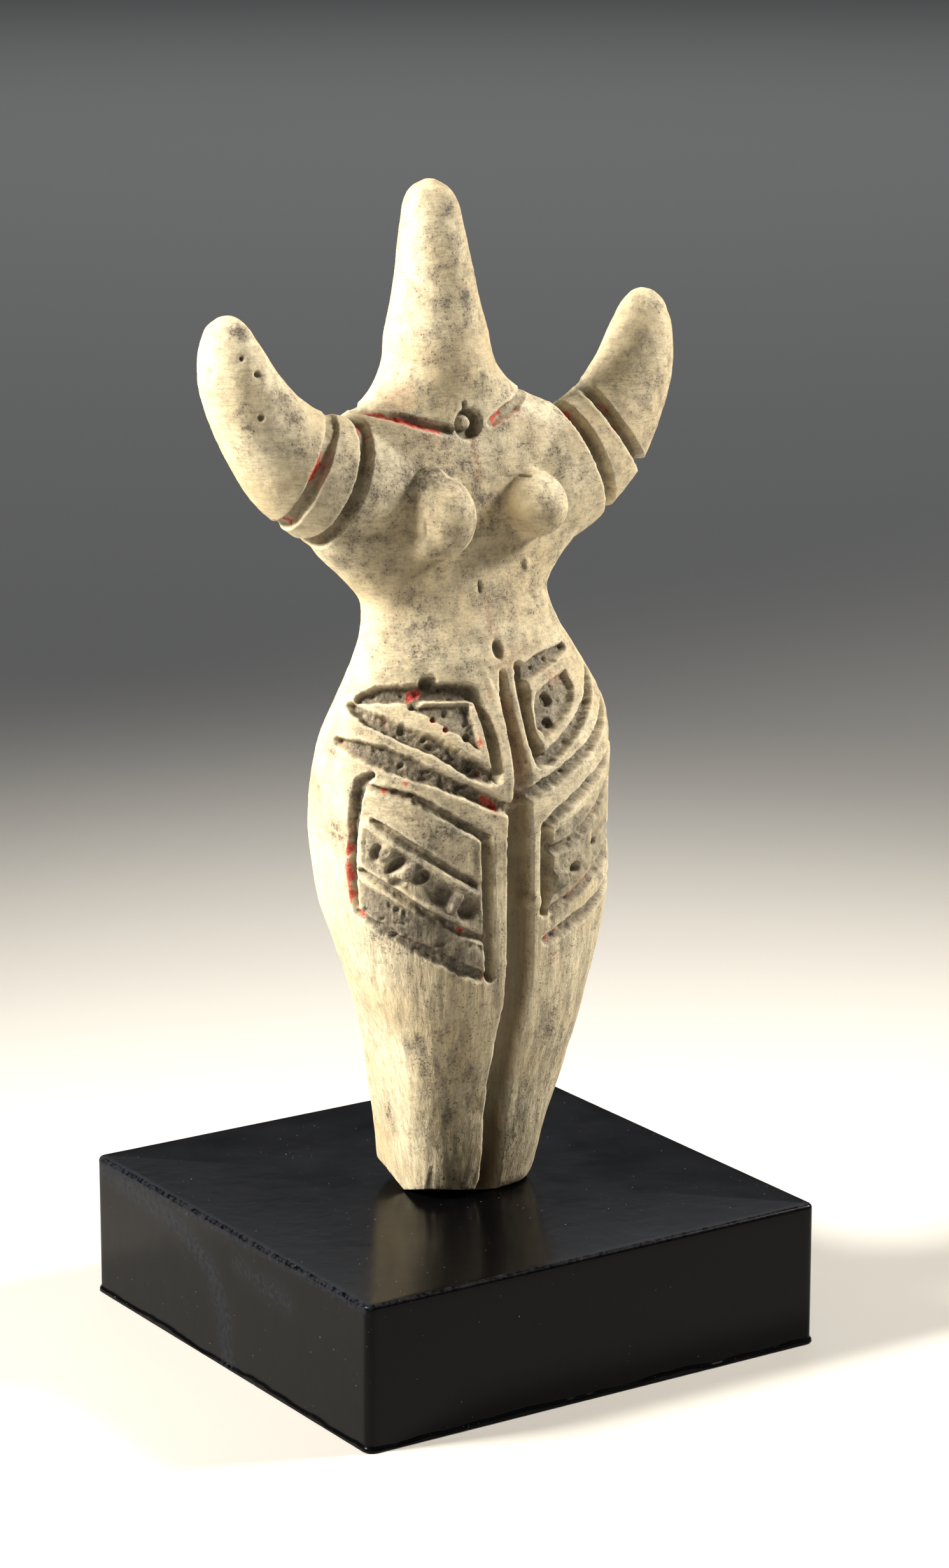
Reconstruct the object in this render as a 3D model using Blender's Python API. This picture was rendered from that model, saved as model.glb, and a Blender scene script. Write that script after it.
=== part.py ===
# Fired clay fertility figurine with raised stump arms, standing on a square black display base.
# Metres, +Z up. The figure faces -Y, and the origin is the middle of the base's underside.

import math

import bmesh
import bpy
import numpy as np
from mathutils import Vector
from mathutils.bvhtree import BVHTree

# Driving dimensions
FIGURE_HEIGHT = 0.1915
BASE_SIDE = 0.100
BASE_HEIGHT = 0.028
BASE_EDGE_RADIUS = 0.0012
SEAT_GAP = 0.0003

# The figure is drawn in millimetres, with heights counted from the soles of its feet,
# and UNIT then brings everything drawn here to FIGURE_HEIGHT.
# Cross-sections of the legs, hips, waist, chest, neck and head:
# height, centre across, centre front to back, half width, half depth, squareness
BODY_SECTIONS = (
    (0.0, 1.0, 0.5, 12.6, 9.8, 2.2),
    (1.2, 1.1, 0.3, 13.5, 11.0, 2.4),
    (4.0, 1.2, -0.1, 14.2, 12.1, 2.8),
    (9.0, 1.2, -0.8, 14.8, 12.8, 3.1),
    (20.0, 1.2, -2.8, 17.8, 12.9, 3.1),
    (33.0, 1.2, -4.7, 20.8, 15.0, 2.8),
    (45.0, 1.2, -5.0, 24.7, 16.9, 2.5),
    (57.0, 1.1, -3.4, 28.2, 19.0, 2.3),
    (68.0, 1.0, -1.9, 29.2, 20.6, 2.2),
    (77.0, 0.9, -2.0, 29.8, 20.6, 2.1),
    (85.0, 0.9, -3.2, 30.0, 18.6, 2.1),
    (92.0, 0.8, -4.0, 29.6, 14.9, 2.1),
    (98.0, 0.8, -3.8, 27.0, 12.2, 2.1),
    (104.5, 0.6, -3.3, 23.3, 10.8, 2.1),
    (111.0, 0.4, -2.2, 20.2, 9.6, 2.1),
    (115.0, 0.2, -1.4, 19.6, 9.2, 2.2),
    (120.0, 0.1, -0.6, 23.4, 9.2, 2.3),
    (126.0, 0.0, -0.1, 29.2, 9.2, 2.4),
    (138.0, 0.0, 0.8, 30.6, 9.0, 2.5),
    (146.0, 0.0, 1.9, 28.0, 8.6, 2.4),
    (151.0, 0.2, 2.7, 17.4, 9.0, 2.1),
    (157.0, 0.0, 3.4, 11.3, 9.9, 2.0),
    (163.0, -0.3, 3.9, 9.9, 9.2, 2.0),
    (169.0, -0.2, 4.3, 8.3, 8.3, 2.0),
    (180.0, -0.3, 5.0, 6.5, 6.5, 2.0),
    (187.5, -0.4, 5.4, 5.0, 5.0, 2.0),
    (190.3, -0.4, 5.5, 3.2, 3.2, 2.0),
    (191.5, -0.4, 5.5, 1.0, 1.0, 2.0),
)
UNIT = FIGURE_HEIGHT / BODY_SECTIONS[-1][0]

# The arm's middle line and thickness: how far out, front to back, height, radius, depth as a share of it
ARM_SECTIONS = (
    (10.0, 0.5, 132.0, 12.0, 0.72),
    (21.0, 0.8, 134.8, 12.8, 0.74),
    (31.0, 1.4, 139.6, 11.2, 0.80),
    (37.9, 2.2, 146.6, 9.0, 0.90),
    (42.0, 3.0, 153.8, 7.6, 0.96),
    (43.8, 3.6, 160.2, 6.3, 1.0),
    (44.4, 3.9, 164.8, 4.6, 1.0),
    (44.5, 4.0, 168.0, 2.3, 1.0),
)
# The side of each arm, and how its root and its tip are moved out and up
ARMS = (
    (-1.0, (-0.6, 1.8), (0.9, 1.0)),
    (1.0, (0.6, -0.8), (2.9, -0.8)),
)

# Breasts: across, front to back, height, and the half sizes in the same order
BREASTS = (
    (-7.9, -8.8, 131.8, 6.4, 7.8, 7.2),
    (12.6, -9.0, 131.8, 5.8, 7.6, 6.3),
)

# The carving follows the surface. A place on the hips or legs is its turn about the body's middle line,
# in degrees from the front with the viewer's right as plus, and its height.
MM_PER_DEGREE = 0.36
PATH_STEP = 1.0
WALL_WIDTH = 0.7
LEG_GROOVE = ((-0.5, 80.0), (-0.5, 45.0), (-3.5, 26.0), (-1.5, 10.0), (-2.0, -1.0))
LEG_GROOVE_WIDTH = 5.4
LEG_GROOVE_DEPTH = 3.2
BACK_GROOVE = ((180.0, 84.0), (180.0, -1.0))
BACK_GROOVE_WIDTH = 4.0
BACK_GROOVE_DEPTH = 1.8

# Slanted lines of the belt and the apron panels: inner place, outer place, inner and outer width, depth
SLANTED_LINES = {
    "belt_lower_left": ((-17.0, 84.0), (-84.0, 98.0), 2.0, 2.4, 1.5),
    "belt_second_left": ((-7.0, 78.0), (-83.0, 92.4), 1.8, 3.2, 1.5),
    "apron_top_left": ((-18.0, 74.0), (-72.0, 85.0), 1.7, 1.7, 1.4),
    "apron_upper_left": ((-26.0, 65.0), (-68.0, 78.0), 1.4, 1.4, 1.0),
    "apron_lower_left": ((-22.0, 54.5), (-72.0, 68.0), 1.4, 1.4, 1.0),
    "apron_bottom_left": ((-20.0, 47.5), (-76.0, 60.0), 3.0, 2.0, 1.0),
    "belt_lower_right": ((22.0, 86.5), (82.0, 99.0), 2.0, 2.2, 1.4),
    "belt_second_right": ((6.0, 80.0), (83.0, 96.0), 2.0, 2.4, 1.4),
    "belt_third_right": ((26.0, 76.5), (80.0, 90.5), 1.8, 2.4, 1.3),
    "apron_top_right": ((17.0, 73.5), (74.0, 86.5), 1.7, 1.7, 1.3),
    "apron_upper_right": ((21.0, 69.0), (70.0, 78.0), 1.4, 1.6, 1.0),
    "apron_lower_right": ((24.0, 60.0), (74.0, 69.0), 1.4, 1.4, 0.9),
    "apron_bottom_right": ((19.0, 51.5), (76.0, 61.0), 3.0, 2.0, 0.9),
}
APRON_INNER_TURN = 19.0
APRON_INNER_EDGES = {-1.0: (74.0, 47.5), 1.0: (73.5, 51.5)}
APRON_OUTER_TURN = 74.0
APRON_OUTER_EDGES = {-1.0: (85.0, 60.0), 1.0: (86.5, 61.0)}
APRON_EDGE_WIDTH = 1.7
APRON_EDGE_DEPTH = 1.5

# Frames of the belt: their corners, the line around them, and the sunken field inside
BELT_TRIANGLE = ((-82.0, 100.0), (-27.0, 101.0), (-14.0, 84.0))
BELT_TRIANGLE_FIELD = ((-62.0, 98.0), (-32.0, 98.2), (-24.5, 89.5))
BELT_DIAMOND = ((64.0, 103.0), (36.0, 102.0), (20.0, 93.0), (24.0, 87.0))
BELT_DIAMOND_FIELD = ((60.0, 100.6), (36.0, 98.6), (28.0, 92.5), (30.0, 90.5), (41.0, 92.6), (58.0, 97.6))
FRAME_LINE_WIDTH = 2.2
FRAME_LINE_DEPTH = 1.4
FIELD_DEPTH = 0.7
CENTRE_SLIT = ((-2.0, 101.0), (4.0, 90.0), (1.0, 79.0))
CENTRE_SLIT_WIDTH = 1.9
CENTRE_SLIT_DEPTH = 1.2

# Round pits in the apron panels: first place, last place, how many, radius and depth
PIT_ROWS = (
    ((-64.0, 71.8), (-31.0, 60.8), 6, 1.4, 1.1),
    ((30.0, 64.0), (62.0, 70.5), 4, 1.4, 0.9),
    ((42.0, 96.6), (36.0, 92.2), 2, 1.2, 0.9),
)

# Bands cut around the upper arms: place of each ring along the arm's sections, its width and depth
ARM_RINGS = {-1.0: (1.45, 2.0), 1.0: (1.65, 2.3)}
ARM_RING_WIDTH = 2.2
ARM_RING_DEPTH = 1.5
ARM_RING_REACH = 17.0

# The necklace is an oval around the foot of the neck that dips at the front, with a ringed bead there.
NECKLACE_CENTRE = (0.0, 2.6, 149.2)
NECKLACE_HALF_WIDTH = 17.0
NECKLACE_HALF_DEPTH = 9.2
NECKLACE_DIP = 2.0
NECKLACE_WIDTH = 1.6
NECKLACE_DEPTH = 1.2
BEAD_HEIGHT = 148.0
BEAD_RADIUS = 2.7
BEAD_DOT_RADIUS = 0.9
BEAD_DEPTH = 1.0

# How finely the figure is shaped before it is thinned out, and how finely the base's edges are rounded
RING_POINTS = 96
RING_SPACING = 1.5
ARM_RINGS_PER_SECTION = 6
ARM_HEADING_STEP = 0.1
BREAST_SEGMENTS = 32
BREAST_RINGS = 20
NECKLACE_POINTS = 60
VOXEL = 0.6
SMOOTHING_ROUNDS = 6
SMOOTHING_SHARE = 0.5
FIGURE_TRIANGLES = 9300
BASE_EDGE_SEGMENTS = 3
SHARP_ANGLE = math.radians(35.0)

# Colours are linear
CLAY_COLOUR = (0.62, 0.53, 0.38)
CLAY_ROUGHNESS = 0.85
LACQUER_COLOUR = (0.006, 0.006, 0.007)
LACQUER_ROUGHNESS = 0.28


def clear_scene():
    for thing in list(bpy.data.objects):
        bpy.data.objects.remove(thing, do_unlink=True)


def principled(name, colour, roughness, metallic=0.0):
    material = bpy.data.materials.new(name)
    material.use_nodes = True
    shader = material.node_tree.nodes["Principled BSDF"]
    shader.inputs["Base Color"].default_value = (*colour, 1.0)
    shader.inputs["Roughness"].default_value = roughness
    shader.inputs["Metallic"].default_value = metallic
    return material


def smooth_rows(rows, wanted):
    # A smooth curve through each column of rows, read where the first column has the wanted values
    rows = np.array(rows, float)
    known = rows[:, 0]
    wanted = np.clip(wanted, known[0], known[-1])
    slopes = np.gradient(rows, known, axis=0)
    place = np.clip(np.searchsorted(known, wanted, side="right") - 1, 0, len(known) - 2)
    step = (known[place + 1] - known[place])[:, None]
    t = (wanted - known[place])[:, None] / step
    start, end = rows[place], rows[place + 1]
    return (
        (2 * t**3 - 3 * t**2 + 1) * start
        + (t**3 - 2 * t**2 + t) * step * slopes[place]
        + (-2 * t**3 + 3 * t**2) * end
        + (t**3 - t**2) * step * slopes[place + 1]
    )


def ring_turns():
    return np.linspace(0.0, 2.0 * math.pi, RING_POINTS, endpoint=False)


def superellipse(half_width, half_depth, squareness):
    # One closed ring, starting at the front
    turn = ring_turns()
    across, along = np.sin(turn), -np.cos(turn)
    power = 2.0 / squareness
    return (
        half_width * np.sign(across) * np.abs(across) ** power,
        half_depth * np.sign(along) * np.abs(along) ** power,
    )


def loft(mesh, rings):
    # Joins a run of closed rings with faces and closes both ends
    loops = []
    for ring in rings:
        made = bmesh.ops.create_circle(mesh, cap_ends=False, segments=RING_POINTS, radius=1.0)
        for vertex, place in zip(made["verts"], ring):
            vertex.co = place
        loops.append(list({edge for vertex in made["verts"] for edge in vertex.link_edges}))
    for lower, upper in zip(loops, loops[1:]):
        bmesh.ops.bridge_loops(mesh, edges=lower + upper)
    bmesh.ops.holes_fill(mesh, edges=loops[0] + loops[-1], sides=RING_POINTS)
    bmesh.ops.recalc_face_normals(mesh, faces=mesh.faces)


def add_body(mesh):
    known = [row[0] for row in BODY_SECTIONS]
    heights = np.unique(np.concatenate([known, np.arange(known[0], known[-1], RING_SPACING)]))
    rings = []
    for height, across, along, width, depth, square in smooth_rows(BODY_SECTIONS, heights):
        x, y = superellipse(width, depth, square)
        ring = np.stack([x + across, y + along, np.full(RING_POINTS, height)], axis=1)
        rings.append([Vector(point) for point in ring * UNIT])
    loft(mesh, rings)


def arm_rows(side, root, tip, places):
    # The arm's sections on its own side, read at places counted in sections from the root
    rows = np.array(ARM_SECTIONS, float)
    share = np.linspace(0.0, 1.0, len(rows))
    rows[:, 0] = side * (rows[:, 0] + root[0] + (tip[0] - root[0]) * share)
    rows[:, 2] += root[1] + (tip[1] - root[1]) * share
    numbered = np.concatenate([np.arange(len(rows))[:, None], rows], axis=1)
    return smooth_rows(numbered, places)[:, 1:]


def add_arm(mesh, side, root, tip):
    last = len(ARM_SECTIONS) - 1
    fine = arm_rows(side, root, tip, np.linspace(0.0, last, ARM_RINGS_PER_SECTION * last + 1))
    centres = [Vector(row[:3]) for row in fine]
    rings = []
    for index, row in enumerate(fine):
        before = centres[max(index - 1, 0)]
        after = centres[min(index + 1, len(centres) - 1)]
        heading = (after - before).normalized()
        front = Vector((0.0, -1.0, 0.0))
        over = heading.cross(front).normalized()
        radius, depth = row[3], row[3] * row[4]
        rings.append([
            (centres[index] + over * radius * math.cos(a) + front * depth * math.sin(a)) * UNIT
            for a in ring_turns()
        ])
    loft(mesh, rings)


def add_breast(mesh, across, along, height, half_width, half_depth, half_height):
    made = bmesh.ops.create_uvsphere(
        mesh, u_segments=BREAST_SEGMENTS, v_segments=BREAST_RINGS, radius=1.0
    )
    bmesh.ops.scale(mesh, vec=Vector((half_width, half_depth, half_height)) * UNIT, verts=made["verts"])
    bmesh.ops.translate(mesh, vec=Vector((across, along, height)) * UNIT, verts=made["verts"])


def body_middle(heights):
    # The body's middle line at these heights: across and front to back
    return smooth_rows(BODY_SECTIONS, heights)[:, 1:3]


def on_surface(surface, turn, height):
    # Where a level ray from the body's middle line comes out of the surface
    across, along = body_middle([height])[0]
    angle = math.radians(turn)
    start = Vector((across, along, height)) * UNIT
    heading = Vector((math.sin(angle), -math.cos(angle), 0.0))
    return surface.ray_cast(start, heading)[0]


def surface_path(surface, places):
    # Closely spaced points on the surface, along straight stretches between the places.
    # A place below the soles or above the head has no point.
    places = np.array(places)
    stops = [places[0]]
    for start, end in zip(places, places[1:]):
        length = np.linalg.norm((end - start) * (MM_PER_DEGREE, 1.0))
        stops.extend(np.linspace(start, end, math.ceil(length / PATH_STEP) + 1)[1:])
    points = [on_surface(surface, turn, height) for turn, height in stops]
    return np.array([point for point in points if point is not None]) / UNIT


def depth_along(points, path, first_width, last_width, depth):
    # How deep a flat-bottomed groove along the path is at each point
    widths = np.linspace(first_width, last_width, len(path))
    above = np.all(points > path.min(axis=0) - widths.max(), axis=1)
    below = np.all(points < path.max(axis=0) + widths.max(), axis=1)
    near = np.where(above & below)[0]
    cut = np.zeros(len(points))
    for start, end, wide in zip(path, path[1:], widths):
        run = end - start
        share = np.clip((points[near] - start) @ run / (run @ run), 0.0, 1.0)
        gap = np.linalg.norm(points[near] - start - share[:, None] * run, axis=1)
        cut[near] = np.maximum(cut[near], depth * fall_off(wide / 2.0 - gap))
    return cut


def fall_off(inside):
    # 0 outside the groove's wall and 1 inside it, with a smooth step between
    t = np.clip(inside / WALL_WIDTH + 0.5, 0.0, 1.0)
    return t * t * (3.0 - 2.0 * t)


def field_depth(places, corners, depth):
    # The sunken field inside a convex outline of turns and heights
    corners = np.array(corners)
    middle = corners.mean(axis=0)
    inside = np.full(len(places), np.inf)
    for start, end in zip(corners, np.roll(corners, -1, axis=0)):
        run = (end - start) * (MM_PER_DEGREE, 1.0)
        across = np.array((-run[1], run[0])) / np.linalg.norm(run)
        if across @ ((middle - start) * (MM_PER_DEGREE, 1.0)) < 0.0:
            across = -across
        inside = np.minimum(inside, ((places - start) * (MM_PER_DEGREE, 1.0)) @ across)
    return depth * fall_off(inside)


def hip_lines():
    # Every groove of the legs and hips: its places, first and last width, and depth
    lines = [
        (LEG_GROOVE, LEG_GROOVE_WIDTH, LEG_GROOVE_WIDTH, LEG_GROOVE_DEPTH),
        (BACK_GROOVE, BACK_GROOVE_WIDTH, BACK_GROOVE_WIDTH, BACK_GROOVE_DEPTH),
        (CENTRE_SLIT, CENTRE_SLIT_WIDTH, CENTRE_SLIT_WIDTH, CENTRE_SLIT_DEPTH),
        (BELT_TRIANGLE, FRAME_LINE_WIDTH, FRAME_LINE_WIDTH, FRAME_LINE_DEPTH),
        (BELT_DIAMOND, FRAME_LINE_WIDTH, FRAME_LINE_WIDTH, FRAME_LINE_DEPTH),
    ]
    for inner, outer, inner_width, outer_width, depth in SLANTED_LINES.values():
        lines.append(((inner, outer), inner_width, outer_width, depth))
    for turn, edges in ((APRON_INNER_TURN, APRON_INNER_EDGES), (APRON_OUTER_TURN, APRON_OUTER_EDGES)):
        for side, (top, bottom) in edges.items():
            upright = ((side * turn, top), (side * turn, bottom))
            lines.append((upright, APRON_EDGE_WIDTH, APRON_EDGE_WIDTH, APRON_EDGE_DEPTH))
    return lines


def hip_carving(surface, points):
    middle = body_middle(points[:, 2])
    turns = np.degrees(np.arctan2(points[:, 0] - middle[:, 0], middle[:, 1] - points[:, 1]))
    places = np.stack([turns, points[:, 2]], axis=1)
    cuts = []
    for path, first_width, last_width, depth in hip_lines():
        path = surface_path(surface, path)
        cuts.append(depth_along(points, path, first_width, last_width, depth))
    for corners in (BELT_TRIANGLE_FIELD, BELT_DIAMOND_FIELD):
        cuts.append(field_depth(places, corners, FIELD_DEPTH))
    for first, last, count, radius, depth in PIT_ROWS:
        for turn, height in np.linspace(first, last, count):
            centre = np.array(on_surface(surface, turn, height)) / UNIT
            gap = np.linalg.norm(points - centre, axis=1)
            cuts.append(depth * fall_off(radius - gap))
    return cuts


def arm_carving(points):
    cuts = []
    for side, root, tip in ARMS:
        for place in ARM_RINGS[side]:
            beside = [place - ARM_HEADING_STEP, place, place + ARM_HEADING_STEP]
            before, centre, after = arm_rows(side, root, tip, beside)[:, :3]
            heading = (after - before) / np.linalg.norm(after - before)
            offset = np.abs((points - centre) @ heading)
            close = np.linalg.norm(points - centre, axis=1) < ARM_RING_REACH
            cuts.append(ARM_RING_DEPTH * fall_off(ARM_RING_WIDTH / 2.0 - offset) * close)
    return cuts


def neck_carving(surface, points):
    cuts = []
    across, along, height = NECKLACE_CENTRE
    gap = math.degrees(BEAD_RADIUS / NECKLACE_HALF_DEPTH)
    path = []
    for turn in np.radians(np.linspace(gap, 360.0 - gap, NECKLACE_POINTS)):
        guess = Vector((
            across + NECKLACE_HALF_WIDTH * math.sin(turn),
            along - NECKLACE_HALF_DEPTH * math.cos(turn),
            height - NECKLACE_DIP * math.cos(turn),
        ))
        path.append(surface.find_nearest(guess * UNIT)[0] / UNIT)
    cuts.append(depth_along(points, np.array(path), NECKLACE_WIDTH, NECKLACE_WIDTH, NECKLACE_DEPTH))
    bead = np.array(on_surface(surface, 0.0, BEAD_HEIGHT)) / UNIT
    away = np.linalg.norm(points - bead, axis=1)
    ring = fall_off(BEAD_RADIUS - away) * (1.0 - fall_off(BEAD_DOT_RADIUS - away))
    cuts.append(BEAD_DEPTH * ring)
    return cuts


def carve(figure):
    # Sinks the carving into the figure's surface, along the surface's own directions
    mesh = bmesh.new()
    mesh.from_mesh(figure.data)
    surface = BVHTree.FromBMesh(mesh)
    points = np.array([vertex.co for vertex in mesh.verts]) / UNIT
    normals = np.array([vertex.normal for vertex in mesh.verts])
    cuts = hip_carving(surface, points) + arm_carving(points) + neck_carving(surface, points)
    moved = (points - normals * np.max(cuts, axis=0)[:, None]) * UNIT
    for vertex, place in zip(mesh.verts, moved):
        vertex.co = place
    mesh.to_mesh(figure.data)
    mesh.free()


def new_object(name, mesh, material):
    data = bpy.data.meshes.new(name)
    mesh.to_mesh(data)
    mesh.free()
    thing = bpy.data.objects.new(name, data)
    bpy.context.scene.collection.objects.link(thing)
    data.materials.append(material)
    return thing


def bake(thing):
    # Replaces the object's mesh with what its modifiers make of it
    bpy.context.view_layer.update()
    seen = thing.evaluated_get(bpy.context.evaluated_depsgraph_get())
    baked = bpy.data.meshes.new_from_object(seen)
    old = thing.data
    thing.modifiers.clear()
    thing.data = baked
    bpy.data.meshes.remove(old)


def make_figurine():
    mesh = bmesh.new()
    add_body(mesh)
    for side, root, tip in ARMS:
        add_arm(mesh, side, root, tip)
    for breast in BREASTS:
        add_breast(mesh, *breast)
    clay = principled("fired_clay", CLAY_COLOUR, CLAY_ROUGHNESS)
    figure = new_object("figurine", mesh, clay)
    fuse = figure.modifiers.new("fuse", "REMESH")
    fuse.mode = "VOXEL"
    fuse.voxel_size = VOXEL * UNIT
    fuse.use_smooth_shade = True
    soften = figure.modifiers.new("soften", "SMOOTH")
    soften.factor = SMOOTHING_SHARE
    soften.iterations = SMOOTHING_ROUNDS
    bake(figure)
    carve(figure)
    thin = figure.modifiers.new("thin_out", "DECIMATE")
    triangles = 2 * len(figure.data.polygons)
    thin.ratio = FIGURE_TRIANGLES / triangles
    figure.location.z = BASE_HEIGHT + SEAT_GAP
    return figure


def make_display_base():
    mesh = bmesh.new()
    bmesh.ops.create_cube(mesh, size=1.0)
    bmesh.ops.scale(mesh, vec=(BASE_SIDE, BASE_SIDE, BASE_HEIGHT), verts=mesh.verts)
    bmesh.ops.translate(mesh, vec=(0.0, 0.0, BASE_HEIGHT / 2.0), verts=mesh.verts)
    bmesh.ops.bevel(
        mesh, geom=mesh.edges[:], offset=BASE_EDGE_RADIUS, segments=BASE_EDGE_SEGMENTS,
        profile=0.5, affect="EDGES", material=-1,
    )
    lacquer = principled("black_lacquered_wood", LACQUER_COLOUR, LACQUER_ROUGHNESS)
    base = new_object("display_base", mesh, lacquer)
    base.data.shade_smooth()
    base.data.set_sharp_from_angle(angle=SHARP_ANGLE)
    return base


clear_scene()
make_display_base()
make_figurine()
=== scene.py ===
import math

import bmesh
import bpy
import numpy as np
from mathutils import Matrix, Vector, noise
from mathutils.bvhtree import BVHTree


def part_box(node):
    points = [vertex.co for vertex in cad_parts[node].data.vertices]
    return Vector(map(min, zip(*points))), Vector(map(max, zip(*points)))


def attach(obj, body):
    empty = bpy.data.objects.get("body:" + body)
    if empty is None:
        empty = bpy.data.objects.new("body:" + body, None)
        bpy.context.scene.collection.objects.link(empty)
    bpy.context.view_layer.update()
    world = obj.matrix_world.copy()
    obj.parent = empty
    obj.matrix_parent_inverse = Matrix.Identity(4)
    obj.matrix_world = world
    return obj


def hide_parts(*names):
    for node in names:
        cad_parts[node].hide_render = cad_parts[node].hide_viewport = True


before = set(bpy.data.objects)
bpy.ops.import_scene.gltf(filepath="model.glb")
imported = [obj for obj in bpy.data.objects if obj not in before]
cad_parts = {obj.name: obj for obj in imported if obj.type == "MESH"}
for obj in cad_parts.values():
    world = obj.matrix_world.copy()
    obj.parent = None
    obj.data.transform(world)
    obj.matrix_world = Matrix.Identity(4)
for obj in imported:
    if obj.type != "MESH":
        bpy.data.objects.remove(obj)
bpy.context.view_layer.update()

figureLow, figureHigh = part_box("figurine")
baseLow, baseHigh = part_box("display_base")
drawnHeight = 191.5   # mm from the soles to the crown, as the sections below are drawn
unit = (figureHigh.z - figureLow.z) / drawnHeight   # metres for one drawn millimetre
mm = 0.001
nothing = 1e-9   # keeps a run of no length from dividing by nought


def toLinear(code):
    # An sRGB hex colour as linear red, green, blue and alpha
    channels = [int(code[place:place + 2], 16) / 255 for place in (1, 3, 5)]
    return [c / 12.92 if c <= 0.04045 else ((c + 0.055) / 1.055) ** 2.4 for c in channels] + [1]


def addNode(tree, kind, settings=None, links=None, give=0):
    # Adds a shader node with its settings, links sockets into its inputs, and gives back one of its outputs
    node = tree.nodes.new("ShaderNode" + kind)
    for name, value in (settings or {}).items():
        if isinstance(name, str) and hasattr(node, name):
            setattr(node, name, value)
        else:
            node.inputs[name].default_value = value
    for name, socket in (links or {}).items():
        tree.links.new(socket, node.inputs[name])
    return node.outputs[give]


def newMaterial(name):
    material = bpy.data.materials.new(name)
    material.use_nodes = True
    return material, material.node_tree, material.node_tree.nodes["Principled BSDF"]


def addRows(tree, made, rows):
    # Adds nodes row by row: the kind of node, or what a Math node does, and then its inputs in order,
    # which are numbers or the names of what was made before
    for name, (kind, *inputs) in rows.items():
        given = {place: value for place, value in enumerate(inputs) if isinstance(value, (int, float))}
        links = {place: made[value] for place, value in enumerate(inputs) if isinstance(value, str)}
        if kind.isupper():
            given["operation"] = kind
            kind = "Math"
        made[name] = addNode(tree, kind, given, links)


def startMaterial(name, settings):
    # A material with the piece's own coordinates in mm, the masks kept on its points, and its noises
    material, tree, shader = newMaterial(name)
    made = {"place": addNode(tree, "TexCoord", give="Object")}
    made["mm"] = addNode(tree, "Mapping", {"Scale": (1 / mm, 1 / mm, 1 / mm)}, {"Vector": made["place"]})
    for space, (scale, turn) in settings["spaces"].items():
        made[space] = addNode(tree, "Mapping", {"Scale": scale, "Rotation": turn}, {"Vector": made["mm"]})
    for mask in settings["masks"]:
        made[mask] = addNode(tree, "Attribute", {"attribute_name": mask}, None, "Fac")
    for noiseName, (space, scale, detail, roughness) in settings["noises"].items():
        given = {"Scale": scale, "Detail": detail, "Roughness": roughness}
        made[noiseName] = addNode(tree, "TexNoise", given, {"Vector": made[space]})
    return material, tree, shader, made


def finishMaterial(tree, shader, made, settings):
    # Adds the nodes, lays the colours over one another, each where its mask lets it through, and links
    # colour, gloss and relief to the shader
    addRows(tree, made, settings["nodes"])
    rgb = {"data_type": "RGBA"}
    colours = {name: toLinear(code) for name, code in settings["colours"].items()}
    blends = {
        name: addNode(tree, "Mix", {**rgb, 6: colours[low], 7: colours[high]}, {0: made[mask]}, 2)
        for name, (mask, low, high) in settings["blends"].items()
    }
    colour = blends["ground"]
    for mask, over in settings["layers"]:
        links = {0: made[mask], 6: colour}
        if over in blends:
            colour = addNode(tree, "Mix", rgb, {**links, 7: blends[over]}, 2)
        else:
            colour = addNode(tree, "Mix", {**rgb, 7: colours[over]}, links, 2)
    strength, depth = settings["bump"]
    bump = addNode(tree, "Bump", {"Strength": strength, "Distance": depth * mm}, {"Height": made["relief"]})
    for socket, source in {"Base Color": colour, "Roughness": made["gloss"], "Normal": bump}.items():
        tree.links.new(source, shader.inputs[socket])
    shader.inputs["Specular IOR Level"].default_value = settings["specular"]


def addObject(name, data):
    made = bpy.data.objects.new(name, data)
    bpy.context.scene.collection.objects.link(made)
    return made


def newPiece(name, mesh, node=None):
    data = bpy.data.meshes.new(name)
    mesh.to_mesh(data)
    mesh.free()
    piece = addObject(name, data)
    if node:
        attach(piece, "root")
        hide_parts(node)
    return piece


def keepMasks(data, masks):
    # Keeps a value for each point of a mesh, for its material to read
    for name, values in masks.items():
        data.attributes.new(name, "FLOAT", "POINT").data.foreach_set("value", values.astype(np.float32))


def bakeModifiers(piece):
    # The piece's mesh becomes what its modifiers make of it
    bpy.context.view_layer.update()
    graph = bpy.context.evaluated_depsgraph_get()
    baked = bpy.data.meshes.new_from_object(
        piece.evaluated_get(graph), preserve_all_data_layers=True, depsgraph=graph
    )
    old = piece.data
    piece.modifiers.clear()
    piece.data = baked
    bpy.data.meshes.remove(old)


def loft(mesh, rings):
    # Joins closed rings of points with faces and closes both ends
    loops = []
    for ring in rings:
        made = bmesh.ops.create_circle(mesh, cap_ends=False, segments=len(ring), radius=1.0)
        for vertex, place in zip(made["verts"], ring):
            vertex.co = place
        loops.append(list({edge for vertex in made["verts"] for edge in vertex.link_edges}))
    for lower, upper in zip(loops, loops[1:]):
        bmesh.ops.bridge_loops(mesh, edges=lower + upper)
    bmesh.ops.holes_fill(mesh, edges=loops[0] + loops[-1], sides=len(rings[0]))
    bmesh.ops.recalc_face_normals(mesh, faces=mesh.faces)


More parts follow.
